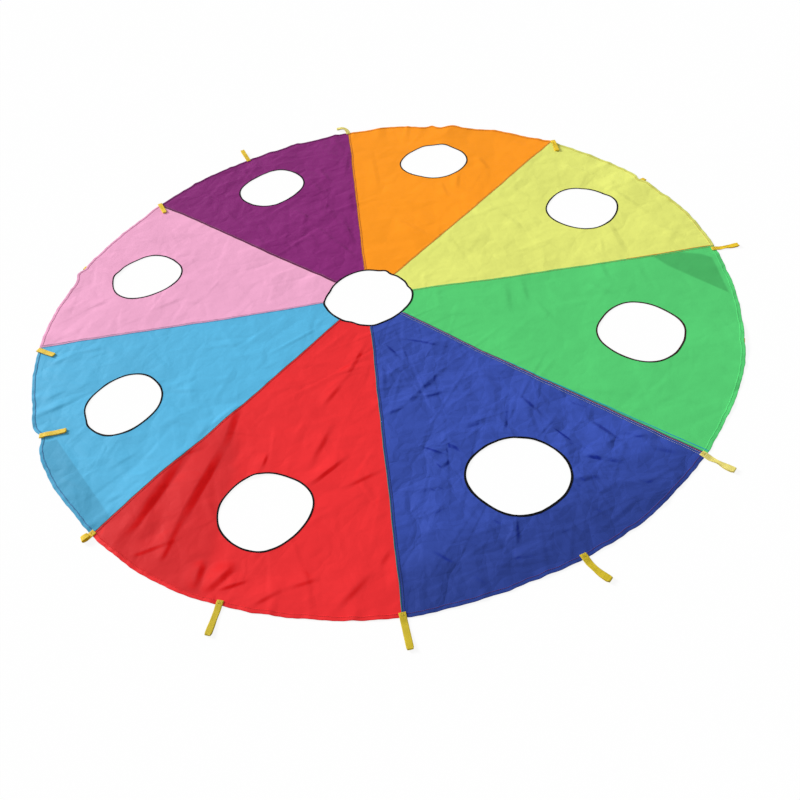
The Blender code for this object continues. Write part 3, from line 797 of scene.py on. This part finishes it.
# The rim of each panel is hemmed: the cloth is folded over to the top and sewn down with one row
# of thread. The doubled cloth shows deeper in colour, and the sewing draws it into small puckers.
HEM_WIDTH = 15 * MM
HEM_RISE = 0.75 * MM
FLAT_HEM_RISE = 0.3 * MM
HEM_DROP = 0.45 * MM
HEM_OVERLAP = 0.5 * MM
HEM_STEPS = 420
HEM_PUCKERS = 0.45
HEM_CRINKLE = 1.4
HEM_STITCH_INSET = 12 * MM
PUCKER_LENGTH = 34 * MM
STRIP_LEAST = 0.15 * MM
STITCH_LENGTH = 5 * MM
STITCH_PITCH = 6.0 * MM
STITCH_OVER = 0.2 * MM
THREAD_HALF_WIDTH = 0.9 * MM
THREAD_FLATTER = 0.6
HEM_DEEPER = by_panel(0.22, 0.06, 0.2, 0.0, 0.35, 0.0, 0.14, 0.12)
HEM_THREAD = by_panel(
    (0.03, 0.01, 0.03), (0.84, 0.28, 0.46), (0.1, 0.09, 0.34), (0.74, 0.03, 0.03), (0.1, 0.012, 0.035),
    (0.09, 0.58, 0.17), (0.72, 0.42, 0.05), (0.75, 0.13, 0.01))


def tube(sections, closed=False):
    """Points and faces of a tube from its sections, each a ring of points. Its ends are capped, or
    where it is closed they are joined to each other."""
    ids = np.arange(sections.shape[0] * sections.shape[1]).reshape(sections.shape[:2])
    turned = np.roll(ids, -1, axis=1)
    sides = np.stack([ids, np.roll(ids, -1, axis=0), np.roll(turned, -1, axis=0), turned], -1)
    if closed:
        return sections.reshape(-1, 3), sides.reshape(-1, 4)
    k = np.arange(ids.shape[1] // 2 - 1)
    start, end = (np.stack([row[k], row[k + 1], row[-2 - k], row[-1 - k]], -1) for row in ids[[0, -1]])
    return sections.reshape(-1, 3), np.concatenate([sides[:-1].reshape(-1, 4), start, end[:, ::-1]])


def flat_section(width, rise, drop, count=7):
    """The section of a flat strip with round edges: (across, up) points, over its top from one
    side to the other and back underneath. Its edges close to nothing as half an ellipse does."""
    t = np.linspace(0, np.pi, count)
    across = -np.cos(t) * width / 2
    round_off = np.minimum(1, np.sin(t) * 2.2)
    top = np.stack([across, rise * round_off], 1)
    return np.concatenate([top, np.stack([across[::-1], -drop * round_off[::-1]], 1)])


def slanting_bands(tree, scale, distortion=0.0):
    """The share of bands that slant across a thread or tape."""
    place = (node(tree, "TexCoord"), "Object")
    return node(tree, "TexWave", bands_direction="DIAGONAL", Vector=place, Scale=scale,
                Distortion=distortion), "Fac"


def thread_finish(name, colour):
    """Twisted polyester sewing thread: darker bands slant across it."""
    made, tree, shader = new_finish(name, 0.6, 0.2)
    tone = mixed(tree, slanting_bands(tree, 700.0), colour, np.array(colour) * 0.7)
    link(tree, tone, (shader, "Base Color"))
    return made


def run_along(path):
    """How far along a path each of its points is."""
    return np.concatenate([[0], np.cumsum(np.linalg.norm(np.diff(path, axis=0), axis=1))])


def points_at(distances, path):
    """The points of a path at some distances along it."""
    run = run_along(path)
    return np.stack([np.interp(distances, run, path[:, k]) for k in range(path.shape[1])], 1)


def stitch_row(path, over_cloth):
    """Points and faces of stitches along a path of 3-D points: each is a slim six-sided bead with
    pointed ends, lying along the path."""
    middles = np.arange(STITCH_PITCH, run_along(path)[-1] - STITCH_PITCH / 2, STITCH_PITCH)
    at = points_at(middles, path)
    forward = unit(points_at(middles + STITCH_LENGTH / 2, path) - at)
    side = unit(np.cross(forward, (0, 0, 1)))
    ways = np.stack([forward, side, np.cross(side, forward)], 1)
    k = np.arange(6)
    hexagon = toward(k * np.pi / 3)
    bead = np.concatenate([[(-0.5, 0, 0)], *(np.insert(hexagon, 0, end, 1) for end in (-0.34, 0.34)),
                           [(0.5, 0, 0)]])
    bead = bead * (STITCH_LENGTH, THREAD_HALF_WIDTH, THREAD_FLATTER * THREAD_HALF_WIDTH) + (0, 0, over_cloth)
    points = at[:, None] + bead @ ways
    n = (k + 1) % 6
    first, last = np.zeros(6, int), np.full(6, len(bead) - 1)
    faces = np.concatenate([np.stack(corners, 1) for corners in (
        (first, first, 1 + n, 1 + k), (1 + k, 1 + n, 7 + n, 7 + k), (7 + k, 7 + n, last, last))])
    offsets = len(bead) * np.arange(len(middles))
    return points.reshape(-1, 3), (faces + offsets[:, None, None]).reshape(-1, 4)


def strip_on_cloth(middle_line, outward, section, i, pucker, seed):
    """A flat strip laid on the cloth. middle_line are points of the cut, outward the plan direction
    that its section's first number runs along, and its height follows the cloth below each point."""
    cut = middle_line[:, None] + outward[:, None] * section[None, :, :1]
    along = run_along(middle_line)
    gathers = 1 + pucker * soft_noise(along, along * 0, PUCKER_LENGTH, seed)[:, None]
    rise = section[None, :, 1] * np.where(section[None, :, 1] > 0, gathers, 1)
    return tube(laid(cut, i, rise, STRIP_LEAST))


for i, name in enumerate(PANEL_NAMES):
    outward = toward(np.linspace(FIRST_SEAM + i * PANEL_TURN, FIRST_SEAM + (i + 1) * PANEL_TURN, HEM_STEPS))
    rise = FLAT_HEM_RISE if name == "green" else HEM_RISE
    section = flat_section(HEM_WIDTH + 2 * HEM_OVERLAP, rise, HEM_DROP)
    line = outward * (RIM - HEM_WIDTH / 2 + HEM_OVERLAP)
    strip = strip_on_cloth(line, outward, section, i, HEM_PUCKERS, 300 + i)
    sewn = stitch_row(laid(outward * (RIM - HEM_STITCH_INSET), i, rise), STITCH_OVER)
    piece = mesh_piece(f"rim_hem_{name}", [strip, sewn], [
        taffeta(f"hem_{name}", CLOTH[name], HEM_DEEPER[name], HEM_CRINKLE),
        thread_finish(f"hem_thread_{name}", HEM_THREAD[name])])
    carried(piece, name)

# Neighbouring panels are joined by felled seams: one panel's edge is wrapped round the other's and
# sewn down flat with two rows of stitches, and the raw edges are overlocked with coloured thread.
# The panels, first the one on the anticlockwise side; the one whose cloth lies on top; the seam's
# width and how far its middle lies towards the first panel, in mm; how much deeper its colour is;
# and the colours of the two rows of stitches.
SEAMS = (
    ("purple", "orange", "orange", 12, -5, 0.16, (0.42, 0.09, 0.02), (0.55, 0.14, 0.02)),
    ("pink", "purple", "purple", 11, -2, 0.3, (0.42, 0.20, 0.24), (0.09, 0.01, 0.05)),
    ("light_blue", "pink", "pink", 12, -5, 0.18, (0.5, 0.34, 0.55), (0.62, 0.3, 0.5)),
    ("red", "light_blue", "red", 9, 3, 0.1, (0.5, 0.02, 0.02), (0.5, 0.02, 0.02)),
    ("blue", "red", "blue", 10, 4, 0.25, (0.02, 0.04, 0.16), (0.02, 0.04, 0.16)),
    ("green", "blue", "blue", 15, -8, 0.28, (0.42, 0.45, 0.62), (0.42, 0.45, 0.62)),
    ("yellow", "green", "green", 9, -1, 0.0, (0.6, 0.3, 0.04), (0.05, 0.4, 0.12)),
    ("orange", "yellow", "orange", 9, 2, 0.08, (0.7, 0.16, 0.02), (0.7, 0.45, 0.06)),
)
# overlocked edges of a seam, by its first panel: where it starts along the seam from the middle
# in mm, how far it lies towards the first panel at its start and at the rim, its width, its colour
OVERLOCKS = {
    "purple": ((190, 0.5, 1, 2.6, (0.20, 0.03, 0.06)),),
    "pink": ((190, 4, 4, 3.6, (0.11, 0.008, 0.03)),),
    "light_blue": ((190, 1, 1.5, 3, (0.24, 0.36, 0.64)), (600, -9, -12, 2.6, (0.5, 0.28, 0.44))),
    "red": ((190, -2, -2.5, 3.4, (0.01, 0.17, 0.20)),),
    "blue": ((190, -1.5, -1.5, 4, (0.008, 0.14, 0.17)),),
    "green": ((190, 0.5, 0.5, 3.8, (0.20, 0.012, 0.02)), (190, 3.6, 4.5, 3.6, (0.012, 0.26, 0.25)),
              (700, 5, 17, 3.6, (0.02, 0.36, 0.50))),
    "yellow": ((1130, 4.5, 5.5, 3.4, (0.78, 0.30, 0.02)),),
    "orange": ((190, -2.5, -2.5, 2.8, (0.74, 0.24, 0.015)),),
}
SEAM_RISE = 0.6 * MM
SEAM_DROP = 0.4 * MM
SEAM_STEPS = 460
SEAM_STARTS, SEAM_STOPS = MIDDLE_HOLE_EDGE + 3 * MM, RIM - 0.6 * MM
SEAM_PUCKERS = 0.35
SEAM_CRINKLE = 1.2
# how far a seam lies from its line is less by this share towards the middle
SEAM_TAPER = 0.2
# its two rows of stitches lie these shares of its width from its middle
SEAM_ROWS = (-0.3, 0.3)
OVERLOCK_RISE = 0.6 * MM
OVERLOCK_DROP = 0.3 * MM
OVERLOCK_STOPS = RIM - 0.4 * MM
OVERLOCK_PUCKERS = 0.5
OVERLOCK_SWERVE = 1.6
for first, second, upper, width, shift, deeper, *threads in SEAMS:
    i = PANEL_NAMES.index(first)
    along = toward(FIRST_SEAM + i * PANEL_TURN)
    aside = np.array((-along[1], along[0]))
    outward = np.repeat(aside[None], SEAM_STEPS, 0)
    reach = np.linspace(SEAM_STARTS, SEAM_STOPS, SEAM_STEPS)
    taper = 1 - SEAM_TAPER + SEAM_TAPER * eased((reach - 0.2) / 0.9)
    line = reach[:, None] * along + (shift * MM * taper)[:, None] * aside
    section = flat_section(width * MM, SEAM_RISE, SEAM_DROP, 9)
    parts = [strip_on_cloth(line, outward, section, i, SEAM_PUCKERS, 400 + i)]
    for place in SEAM_ROWS:
        sewn = laid(line + aside * place * width * MM, i, SEAM_RISE * 0.8)
        parts.append(stitch_row(sewn, STITCH_OVER))
    finishes = [taffeta(f"seam_{first}_{second}", CLOTH[upper], deeper, SEAM_CRINKLE)]
    for name, colour in zip((first, second), threads):
        finishes.append(thread_finish(f"seam_thread_{name}", colour))
    for k, (start, near_offset, rim_offset, size, colour) in enumerate(OVERLOCKS[first]):
        reach = np.linspace(start * MM, OVERLOCK_STOPS, SEAM_STEPS)
        offset = near_offset + (rim_offset - near_offset) * np.linspace(0, 1, SEAM_STEPS) ** OVERLOCK_SWERVE
        line = reach[:, None] * along + (offset * MM)[:, None] * aside
        section = flat_section(size * MM, OVERLOCK_RISE, OVERLOCK_DROP) + (0, SEAM_RISE * 0.7)
        parts.append(strip_on_cloth(line, outward, section, i, OVERLOCK_PUCKERS, 450 + 10 * i + k))
        finishes.append(thread_finish(f"overlock_{first}_{k}", colour))
    piece = mesh_piece(f"felled_seam_{first}_{second}", parts, finishes)
    at_fold = {first, second} <= set(BY_THE_FOLD)
    carried(piece, first if at_fold or first not in BY_THE_FOLD else second)

# Each hole is bound with black bias tape, folded round the cut edge and sewn through. The middle
# hole's tape is wider. It runs round both halves of the canopy in two pieces, which stay in place.
TAPE_WIDTH = by_panel(8, 7.5, 8, 6.5, 8.5, 6.5, 7, 7)
MIDDLE_TAPE_WIDTH = 9 * MM
TAPE_RISE = 0.9 * MM
TAPE_DROP = 0.7 * MM
TAPE_LEAST = 0.1 * MM
TAPE_INSET = 0.4 * MM
TAPE_WAVER = 0.2
TAPE_WAVER_LENGTH = 60 * MM
TAPE_STITCHES_AT = 0.72
TAPE_STITCH_OVER = 0.1 * MM
TAPE_STEPS = 301
MIDDLE_TAPE_STEPS = 241
TAPE_BLACK = (0.001, 0.001, 0.0015)
TAPE_MAROON = (0.022, 0.003, 0.005)


def tape_finish(name, colour):
    """Matt twill tape: fine slanting ribs, and paler on its ribs."""
    made, tree, shader = new_finish(name, 0.85, 0.05)
    ribs = slanting_bands(tree, 420.0, 0.6)
    link(tree, mixed(tree, ribs, colour, np.array(colour) * 2), (shader, "Base Color"))
    bumped(tree, shader, ribs, 0.3, 0.0004)
    return made


black_tape = tape_finish("bias_tape_black", TAPE_BLACK)
maroon_tape = tape_finish("bias_tape_maroon", TAPE_MAROON)
tape_thread = thread_finish("tape_thread", (0.006, 0.006, 0.007))


def binding(middle, edge, width, angles, i, seed):
    """A tape folded round a hole's edge: sections of a flat strip whose inner side is the fold, and
    a row of stitches near its outer side. Its width wavers by a fifth."""
    outward = toward(angles)
    waver = 1 + TAPE_WAVER * soft_noise(angles * edge, angles * 0, TAPE_WAVER_LENGTH, seed)
    section = flat_section(1, TAPE_RISE, TAPE_DROP, 9)
    across = (section[None, :, 0] + 0.5) * (width * waver)[:, None] - TAPE_INSET
    strip = laid(middle + outward[:, None] * (edge + across)[..., None], i, section[None, :, 1], TAPE_LEAST)
    sewn = laid(middle + outward * (edge + width * TAPE_STITCHES_AT), i, TAPE_RISE * 0.7)
    return strip, stitch_row(sewn, TAPE_STITCH_OVER)


for i, name in enumerate(PANEL_NAMES):
    angles = np.linspace(0, 2 * np.pi, TAPE_STEPS)
    strip, sewn = binding(hole_middle(i), HOLE_EDGE, TAPE_WIDTH[name] * MM, angles, i, 500 + i)
    tape = maroon_tape if name == "green" else black_tape
    piece = mesh_piece(f"hole_tape_{name}", [tube(strip[:-1], closed=True), sewn], [tape, tape_thread])
    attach(piece, half_of[name])
    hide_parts(f"hole_binding_{name}")

for half, start, nearest in (("far", 0, 0), ("near", math.pi, 4)):
    angles = np.linspace(start, start + math.pi, MIDDLE_TAPE_STEPS)
    strip, sewn = binding(np.zeros(2), MIDDLE_HOLE_EDGE, MIDDLE_TAPE_WIDTH, angles, nearest, 520)
    piece = mesh_piece(f"middle_tape_{half}", [tube(strip), sewn], [black_tape, tape_thread])
    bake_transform(piece)
    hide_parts(f"centre_binding_{half}")

# Sixteen grab handles of yellow ribbed webbing stand round the rim. Each is one strap folded
# double, its two ends stacked on the hem and sewn down with a crossed box of stitches. A loop that is
# turned back swings where it leaves the hem. Most lie outwards on the floor, four lie in over the
# canopy, four are tucked under the rim, and one is curled up.
WEBBING_WIDTH = 23 * MM
WEBBING_THICKNESS = 1.4 * MM
WEBBING_LEAST = 0.1 * MM
PLY_GAP = 0.06 * MM
BEND_REACH = 112 * MM
LINE_STEPS = 96
RIB_PITCH = 1.6 * MM
WARP_PITCH = 1.1 * MM
MUSTARD, BRIGHT, PALE = (0.66, 0.50, 0.016), (0.92, 0.62, 0.016), (0.88, 0.76, 0.2)


def lying_out(reach):
    """The side view of a loop that lies out on the floor: mm out from the rim, mm above the floor."""
    return ((-15, 4.6), (-6, 4.6), (1, 4.5), (9, 3.3), (18, 2.0), (28, 1.7), (45, 2.0), (65, 2.6),
            (reach - 20, 3.6), (reach, 4.3))


def raised(reach, end):
    """A loop that lies out, and whose middle stands up off the floor. Its end is end mm up."""
    return ((-15, 4.6), (-6, 4.6), (2, 5.0), (14, 7.0), (30, 9.5), (50, 10.5 + end / 8),
            (70, 9.5 + end / 5), (reach - 18, 6.5 + end / 2), (reach, end))


def lying_in(reach, top):
    """A loop that turns back over its own sewn ends, and lies in over the canopy."""
    return ((-15, 4.6), (-6, 4.6), (-1, 4.6), (2.4, 4.9), (3.6, 6.3), (2.4, 7.8), (-3, 8.0), (-12, 8.0),
            (-22, 8.0 + top), (-36, 7.2 + top), (-52, 6.0 + top * 0.4), (-75, 5.8), (-reach, 6.4))


def tucked(poke):
    """A loop turned under the rim, that first sticks out from it by poke mm."""
    turn = poke / 2 - 2
    return ((-15, 6.0), (-7, 6.0), (turn, 5.9), (poke + 1, 5.4), (poke + 2.0, 4.0), (poke + 1, 2.7),
            (turn, 2.3), (-7, 2.2), (-25, 2.1), (-55, 2.1), (-80, 2.2), (-104, 2.4))


CURLED = ((-15, 4.6), (-6, 4.6), (1, 4.5), (9, 3.4), (18, 2.2), (27, 2.6), (33, 5.0), (34, 9.0), (29, 11.6),
          (20, 12.0), (11, 10.6))
# how each handle lies: its side view, how far it bends in plan in degrees, mm that the loop's end
# stands open, how far the middle is pinched, and its colour, which the light bleaches
HANDLES = {
    "purple_orange": (raised(90, 7), 105, 3.0, 0.25, PALE),
    "purple": (raised(107, 13.5), -4, 3.0, 0.0, BRIGHT),
    "pink_purple": (lying_in(98, 0), 0, 3.0, 0.0, BRIGHT), "pink": (tucked(12), 8, 2.0, 0.0, BRIGHT),
    "light_blue_pink": (lying_in(97, 0), 0, 2.0, 0.0, BRIGHT),
    "light_blue": (lying_in(104, 1), 0, 3.0, 0.0, BRIGHT),
    "red_light_blue": (CURLED, -60, 5.0, 0.0, BRIGHT), "red": (lying_out(101), 0, 3.6, 0.06, MUSTARD),
    "blue_red": (lying_out(101), 0, 3.6, 0.0, MUSTARD), "blue": (lying_out(97), 29, 4.8, 0.12, MUSTARD),
    "green_blue": (lying_out(97), 12, 4.4, 0.4, PALE), "green": (tucked(1), 0, 2.0, 0.0, BRIGHT),
    "yellow_green": (lying_out(93), 11, 4.0, 0.3, BRIGHT), "yellow": (tucked(19), 0, 2.0, 0.0, BRIGHT),
    "orange_yellow": (lying_in(100, 3), 0, 4.0, 0.15, BRIGHT), "orange": (tucked(1), 0, 2.0, 0.0, BRIGHT),
}
# the pinch's place and width as shares of the length, and how far the loop's end is rounded
PINCH_PLACE, PINCH_WIDTH = 0.52, 0.16
TIP_ROUNDING = 0.16
PINCH_CUP = 9 * MM


def smooth_line(points, count):
    """A smooth curve through points, resampled at equal steps: each span is a cubic whose slope at
    a point is that between the points on both sides of it."""
    points = np.array(points, float)
    before, after = np.concatenate([points[:1], points[:-1]]), np.concatenate([points[1:], points[-1:]])
    slope = (after - before) / 2
    slope[[0, -1]] *= 2
    t = np.linspace(0, 1, 24)[:-1, None]
    leave, arrive = 2 * t**3 - 3 * t**2 + 1, 3 * t**2 - 2 * t**3
    spans = [leave * p + (t**3 - 2 * t**2 + t) * m + arrive * q + (t**3 - t**2) * n
             for p, q, m, n in zip(points, points[1:], slope, slope[1:])]
    fine = np.concatenate([*spans, points[-1:]])
    return points_at(np.linspace(0, run_along(fine)[-1], count), fine)


def doubled_strap(side_view, opens, pinch):
    """A strap folded double along a line seen from the side. Its upper ply runs out above the line,
    turns round at the loop's end and comes back below it; the plies part towards the end. Returns
    grids of along, aside and up for its section's points, each section's distance along it, and the
    line's heights."""
    line = smooth_line(np.array(side_view) * MM, LINE_STEPS)
    slope = unit(np.gradient(line, axis=0))
    normal = np.stack([-slope[:, 1], slope[:, 0]], 1)
    run = np.linspace(0, 1, len(line))
    apart = WEBBING_THICKNESS / 2 + PLY_GAP + opens * MM / 2 * eased((run - 0.3) / 0.65)
    upper, lower = line + normal * apart[:, None], line - normal * apart[:, None]
    turn = np.linspace(np.pi / 2, -np.pi / 2, 13)[1:-1]
    tip = line[-1] + apart[-1] * (toward(turn) @ np.stack([slope[-1], normal[-1]]))
    path = np.concatenate([upper, tip, lower[::-1]])
    ahead = unit(np.gradient(path, axis=0))
    share = np.concatenate([run, np.ones(len(tip)), run[::-1]])
    narrow = 1 - pinch * bell(share - PINCH_PLACE, PINCH_WIDTH) - TIP_ROUNDING * eased((share - 0.95) / 0.05)
    t = np.linspace(0, np.pi, 9)
    across = -np.cos(t)
    thick = np.minimum(1, np.sin(t) * 3) * WEBBING_THICKNESS / 2
    ring_across = np.concatenate([across, across[::-1]])
    ring_thick = np.concatenate([thick, -thick[::-1]])
    aside = ring_across * (WEBBING_WIDTH / 2 * narrow)[:, None]
    cup = (1 - narrow)[:, None] * ring_across**2 * PINCH_CUP
    along = path[:, :1] - ahead[:, 1:] * ring_thick
    height = path[:, 1:] + ahead[:, :1] * ring_thick + cup
    return along, aside, height, run_along(path), line[:, 1]


def bent(along, aside, reach, bend):
    """Bends plan points steadily to one side, by the angle bend over the length reach."""
    if abs(bend) < 1e-3:
        return np.stack([along, aside], -1)
    radius = reach / bend
    angle = np.maximum(along, 0) / radius
    u = radius * np.sin(angle) - aside * np.sin(angle)
    v = radius * (1 - np.cos(angle)) + aside * np.cos(angle)
    return np.stack([np.where(along > 0, u, along), np.where(along > 0, v, aside)], -1)


def webbing_group():
    """Ribbed webbing from a strap's own UV in metres: ribs across it, and warp threads along it. It
    puts out a height, and a mask of painted shade between the ribs, mixed with random stains."""
    made, ins, outs = group("ribbed_webbing", {"Place": "Vector"}, {"Height": "Float", "Shade": "Float"})
    split = node(made, "SeparateXYZ", Vector=(ins, "Place"))
    waves = []
    for axis, pitch, deep in (("X", RIB_PITCH, 0.5), ("Y", WARP_PITCH, 0.3)):
        turn = mathed(made, "MULTIPLY", (split, axis), math.tau / pitch)
        waves.append(mathed(made, "MULTIPLY", mathed(made, "SINE", turn), deep))
    both = mathed(made, "ADD", *waves)
    link(made, both, (outs, "Height"))
    stain = node(made, "TexNoise", Vector=(ins, "Place"), Scale=38.0, Detail=3.0)
    # painted shade in the grooves between ribs, with random stains
    link(made, mathed(made, "ADD", mathed(made, "MULTIPLY", both, 0.25), (stain, "Fac")), (outs, "Shade"))
    return made


ribbed = webbing_group()


def webbing_finish(name, colour):
    """Polypropylene webbing: dull, ribbed, with painted shade between its ribs and random stains."""
    made, tree, shader = new_finish(name, 0.6, 0.25)
    ribs = node(tree, "Group", node_tree=ribbed, Place=(node(tree, "UVMap", uv_map="strap"), "UV"))
    link(tree, mixed(tree, (ribs, "Shade"), np.array(colour) * 0.72, colour), (shader, "Base Color"))
    bumped(tree, shader, (ribs, "Height"), 0.6, 0.0003)
    return made


webbing_finishes = {colour: webbing_finish(f"webbing_{label}", colour)
                    for label, colour in (("mustard", MUSTARD), ("bright", BRIGHT), ("pale", PALE))}
webbing_thread = thread_finish("webbing_thread", (0.70, 0.52, 0.05))

# A loop that is turned back is two meshes, which meet where it turns: the end that is sewn down, and
# the loop, which moves as one. Other straps are one mesh that stays in place. Each sewn end gets two
# places in mm out from the rim, which nothing uses: these for other straps, and for a turned one its
# hinge, or a place before its turn, which is this deep in mm, and one a little beyond that.
TUCKED_TURN_HEIGHT = 4.0 * MM
LYING_IN_TURN_HEIGHT = 7.7 * MM
STRAP_BENDS = (-3, 7)
TURN_DEPTH = 3
SHARP_BEND = 0.2
# the crossed box of stitches on a strap's sewn end, in mm out from the rim and aside
STITCH_BOX = ((-13, -9), (-3, -9), (-3, 9), (-13, 9), (-13, -9), (-3, 9), (-3, -9), (-13, 9))
STITCH_BOX_STEPS = 12
STITCH_BOX_OVER = 0.1 * MM
for name, (side_view, bend, opens, pinch, colour) in HANDLES.items():
    foot, heading, half = handle_feet[name]
    ground = np.array(settle(*foot))
    ahead = toward(heading)
    turned = np.array((ahead, (-ahead[1], ahead[0])))
    along, aside, height, lengths, level = doubled_strap(side_view, opens, pinch)
    plan = ground + bent(along, aside, BEND_REACH, math.radians(bend)) @ turned
    points = np.concatenate([plan, np.maximum(height, WEBBING_LEAST)[..., None]], -1)
    strap_uv = np.stack([np.repeat(lengths[:, None], along.shape[1], 1), aside], -1)
    top = max(z for x, z in side_view[:2]) * MM + WEBBING_THICKNESS + PLY_GAP
    box = np.array(STITCH_BOX) * MM
    rows = []
    for a, b in zip(box, box[1:]):
        line = ground + (a + (b - a) * np.linspace(0, 1, STITCH_BOX_STEPS)[:, None]) @ turned
        rows.append(stitch_row(np.insert(line, 2, top, 1), STITCH_BOX_OVER))
    sewn = joined(rows)[:2]
    n = 0
    if name in TUCKED:
        n = int(np.argmax(level < TUCKED_TURN_HEIGHT))
    elif name in LYING_IN:
        n = int(np.argmax(level > LYING_IN_TURN_HEIGHT))
    count = len(points)
    cuts = [("webbing_handle", [slice(n, count - n)])]
    if n:
        cuts.append(("webbing_end", [slice(0, n + 1), slice(count - n - 1, count)]))
    for label, runs in cuts:
        strap = joined([tube(points[run]) for run in runs])[:2]
        holds_end = label == "webbing_end" or not n
        parts = [strap, sewn] if holds_end else [strap]
        finishes = [webbing_finishes[colour], webbing_thread][: len(parts)]
        piece = mesh_piece(f"{label}_{name}", parts, finishes)
        flat = np.concatenate([strap_uv[run].reshape(-1, 2) for run in runs])
        flat = np.concatenate([flat, np.zeros((len(piece.data.vertices) - len(flat), 2))])
        corner = np.zeros(len(piece.data.loops), np.int32)
        piece.data.loops.foreach_get("vertex_index", corner)
        piece.data.uv_layers.new(name="strap").data.foreach_set("uv", flat[corner].ravel())
        if not holds_end:
            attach(piece, f"handle_{name}")
            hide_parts(f"handle_{name}")
        else:
            first, last = STRAP_BENDS
            if n:
                hinge = (HINGE_PAST_RIM - (ground - foot) @ ahead) / MM
                first = min(hinge, max(x for x, z in side_view) - TURN_DEPTH)
                last = first + SHARP_BEND
            start, end = (np.append(ground + ahead * far * MM, 0) for far in (first, last))
            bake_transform(piece)
            replaced = [f"strap_end_{name}"] if n else [f"strap_end_{name}", f"handle_{name}"]
            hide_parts(*replaced)
